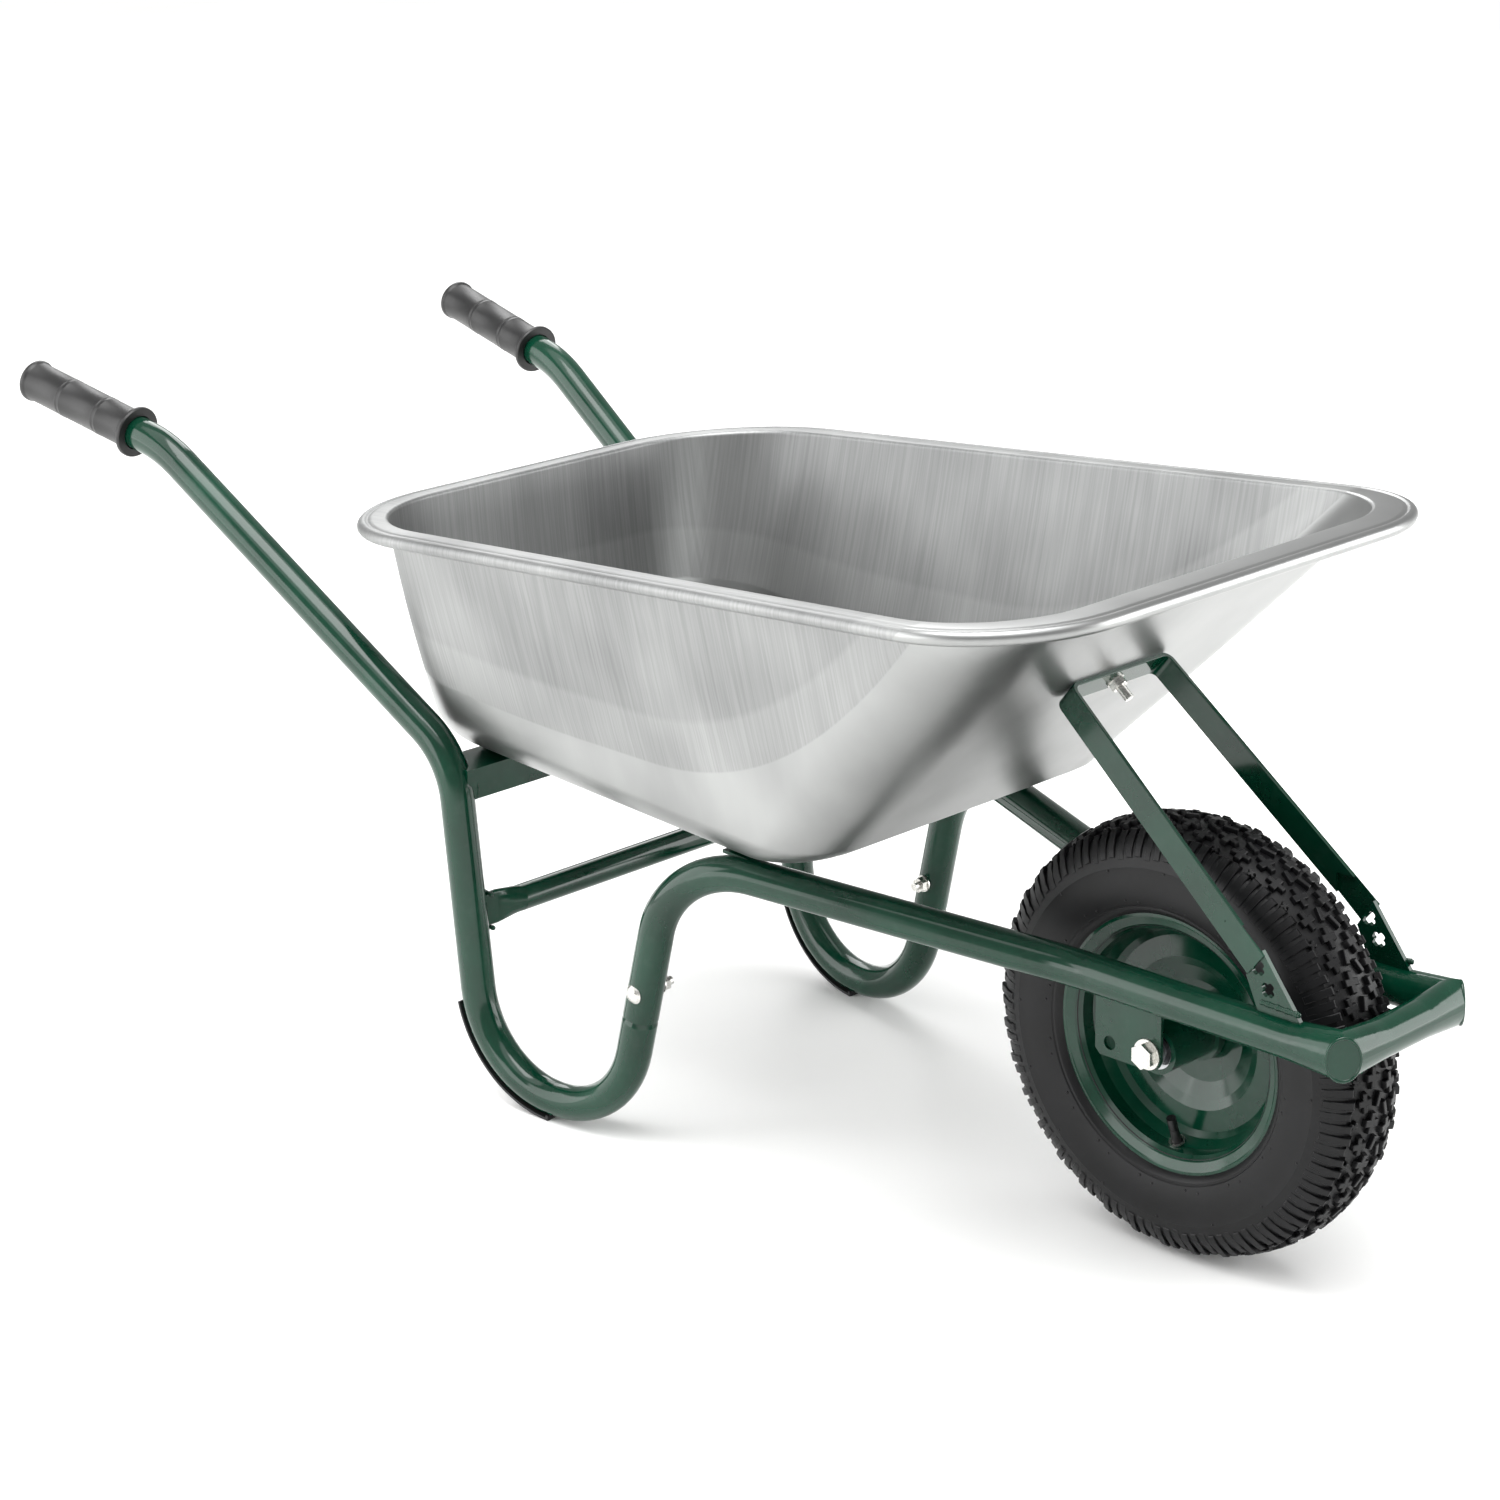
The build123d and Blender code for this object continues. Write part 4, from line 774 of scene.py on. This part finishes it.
def put_welds():
    """Beads where the axle and stay brackets, brace and rear support meet the tubes."""
    mesh = bmesh.new()
    plate, plate_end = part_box("axle_bracket_left")
    foot, foot_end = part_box("stay_bracket_left")
    brace, brace_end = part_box("cross_brace")
    support, support_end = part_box("rear_support")
    brace_y = brace_end.y - 4 * MM
    top = plate_end.z - 6 * MM
    channel_x = support_end.x - 3 * MM
    channel_y = support_end.y - 12 * MM
    side_y = plate_end.y + 0.8 * MM
    # Each bead: its start, its end and its radius in mm
    beads = [
        ((plate.x + 2 * MM, side_y, top), (plate_end.x - 2 * MM, side_y, top), 2.4),
        (
            (foot.x + 16 * MM, foot_end.y, foot.z + 8 * MM),
            (foot_end.x - 1 * MM, foot_end.y, foot.z + 7 * MM),
            2.3,
        ),
        ((brace.x + 4 * MM, brace_y, brace_end.z), (brace_end.x - 4 * MM, brace_y, brace_end.z), 2.2),
        ((brace.x + 4 * MM, brace_y, brace.z), (brace_end.x - 4 * MM, brace_y, brace.z), 2.2),
        ((channel_x, channel_y, support.z + 2 * MM), (channel_x, channel_y, support.z + 14 * MM), 2.6),
    ]
    for start, end, radius in beads:
        for pair in mirrored_pair((start, end)):
            weld_bead(mesh, pair[0], pair[1], radius * MM)
    finish_piece(mesh, "weld_beads", "frame", "green_paint", 60)


# ---------- nose corners ----------

def corner_facet(side):
    """Where a corner's flat crushed face is: how it is turned, its middle and half its size."""
    aim = Vector((1, side, 0)).to_track_quat("Z", "Y").to_matrix()
    node = frame["nodes"]["front_frame"].data
    flat = [f for f in node.polygons if f.normal.dot(aim.col[2]) > 0.999 and f.center.x > axle.x + NOSE_REACH]
    points = [aim.transposed() @ node.vertices[i].co for f in flat for i in f.vertices]
    low = Vector([min(p[i] for p in points) for i in range(3)])
    high = Vector([max(p[i] for p in points) for i in range(3)])
    return aim.to_4x4(), (low + high) / 2, (high - low) / 2


def put_corner_folds():
    """The smooth raised fold that crushing leaves around each flat corner face."""
    mesh = bmesh.new()
    for side in (1, -1):
        aim, middle, half = corner_facet(side)
        fold = bmesh.new()
        upright = Matrix.Translation((half.y - FOLD_R, 0, 0)) @ Matrix.Rotation(pi / 2, 4, "X")
        bmesh.ops.create_circle(fold, segments=12, radius=FOLD_R, matrix=upright)
        section = fold.verts[:] + fold.edges[:]
        spun(fold, section, (0, 0, 1), FOLD_STEPS)
        squeeze = Matrix.Scale(half.x / half.y, 4, (1, 0, 0))
        add_copy(mesh, fold, aim @ Matrix.Translation(middle - Vector((0, 0, FOLD_SINK))) @ squeeze)
        fold.free()
    finish_piece(mesh, "corner_folds", "frame", "green_paint", 60)


# ---------- carried-over nodes ----------

def dress_frame():
    """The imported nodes' finishes, one for each material slot of the record."""
    for part in frame["record"]["subparts"]:
        data = frame["nodes"][part["node"]].data
        data.materials.clear()
        data.materials.append(finishes[part["material_slot"]])


# ---------- studio ----------

def put_camera():
    """A long lens from the wheel's right side, a little above the tray's rim."""
    data = bpy.data.cameras.new("camera")
    data.lens = CAMERA_LENS
    data.clip_end = 50
    camera = bpy.data.objects.new("camera", data)
    bpy.context.scene.collection.objects.link(camera)
    turn = Matrix.Rotation(radians(CAMERA_AZIMUTH), 4, "Z")
    tilt = Matrix.Rotation(radians(90 - CAMERA_ELEVATION), 4, "X")
    roll = Matrix.Rotation(radians(CAMERA_ROLL), 4, "Z")
    camera.matrix_world = Matrix.Translation(axle + CAMERA_FROM_AXLE) @ turn @ tilt @ roll
    bpy.context.scene.camera = camera


def put_light(name, place, target, size, power):
    """A square soft light aimed at a point."""
    data = bpy.data.lights.new(name, "AREA")
    data.size = size
    data.energy = power
    light = bpy.data.objects.new(name, data)
    bpy.context.scene.collection.objects.link(light)
    aim = (Vector(target) - Vector(place)).to_track_quat("-Z", "Y")
    light.matrix_world = Matrix.Translation(place) @ aim.to_matrix().to_4x4()


def pale_paint():
    """Matt pale paint of the studio floor, with the faintest mottling."""
    material, tree, out = blank_material("matt_pale_paint")
    mottle = add(tree, "ShaderNodeMapRange", values=spans(0, 1), links={"Value": grain(tree, 400 * MM)})
    colour = add(
        tree,
        "ShaderNodeMix",
        COLOURS,
        shades("#F7F7F6", "#FAFAF9"),
        {"Factor": mottle.outputs["Result"]},
    )
    shader = add(
        tree,
        "ShaderNodeBsdfPrincipled",
        values={"Roughness": 0.8},
        links={"Base Color": colour.outputs["Result"]},
    )
    tree.links.new(shader.outputs["BSDF"], out.inputs["Surface"])
    return material


def put_floor():
    """A wide pale floor that the barrow stands on."""
    mesh = bmesh.new()
    bmesh.ops.create_grid(mesh, x_segments=1, y_segments=1, size=FLOOR_REACH)
    data = bpy.data.meshes.new("studio_floor")
    mesh.to_mesh(data)
    mesh.free()
    floor = bpy.data.objects.new("studio_floor", data)
    bpy.context.scene.collection.objects.link(floor)
    data.materials.append(pale_paint())


def put_sky():
    """A white surround, dimmer as a light than it looks, and a wide soft sun overhead."""
    world = bpy.data.worlds.new("surround")
    bpy.context.scene.world = world
    world.use_nodes = True
    tree = world.node_tree
    seen = add(tree, "ShaderNodeLightPath").outputs["Is Camera Ray"]
    strength = add(tree, "ShaderNodeMapRange", values=spans(SURROUND, 1.0, 0.0, 1.0), links={"Value": seen})
    background = tree.nodes["Background"]
    background.inputs["Color"].default_value = (1, 1, 1, 1)
    tree.links.new(strength.outputs["Result"], background.inputs["Strength"])
    data = bpy.data.lights.new("overhead_sky", "SUN")
    data.angle = radians(SKY_SPREAD)
    data.energy = SKY_POWER
    sky = bpy.data.objects.new("overhead_sky", data)
    bpy.context.scene.collection.objects.link(sky)
    sky.rotation_euler = [radians(angle) for angle in SKY_TILT]


def put_studio():
    """A pale floor, five softboxes and an overhead sky."""
    put_floor()
    for name, box in SOFTBOXES.items():
        put_light(name, *box)
    put_sky()
    bpy.context.scene.view_settings.view_transform = "Standard"


dress_frame()
put_tray()
put_tyre()
put_grips()
put_welds()
put_corner_folds()
put_camera()
put_studio()
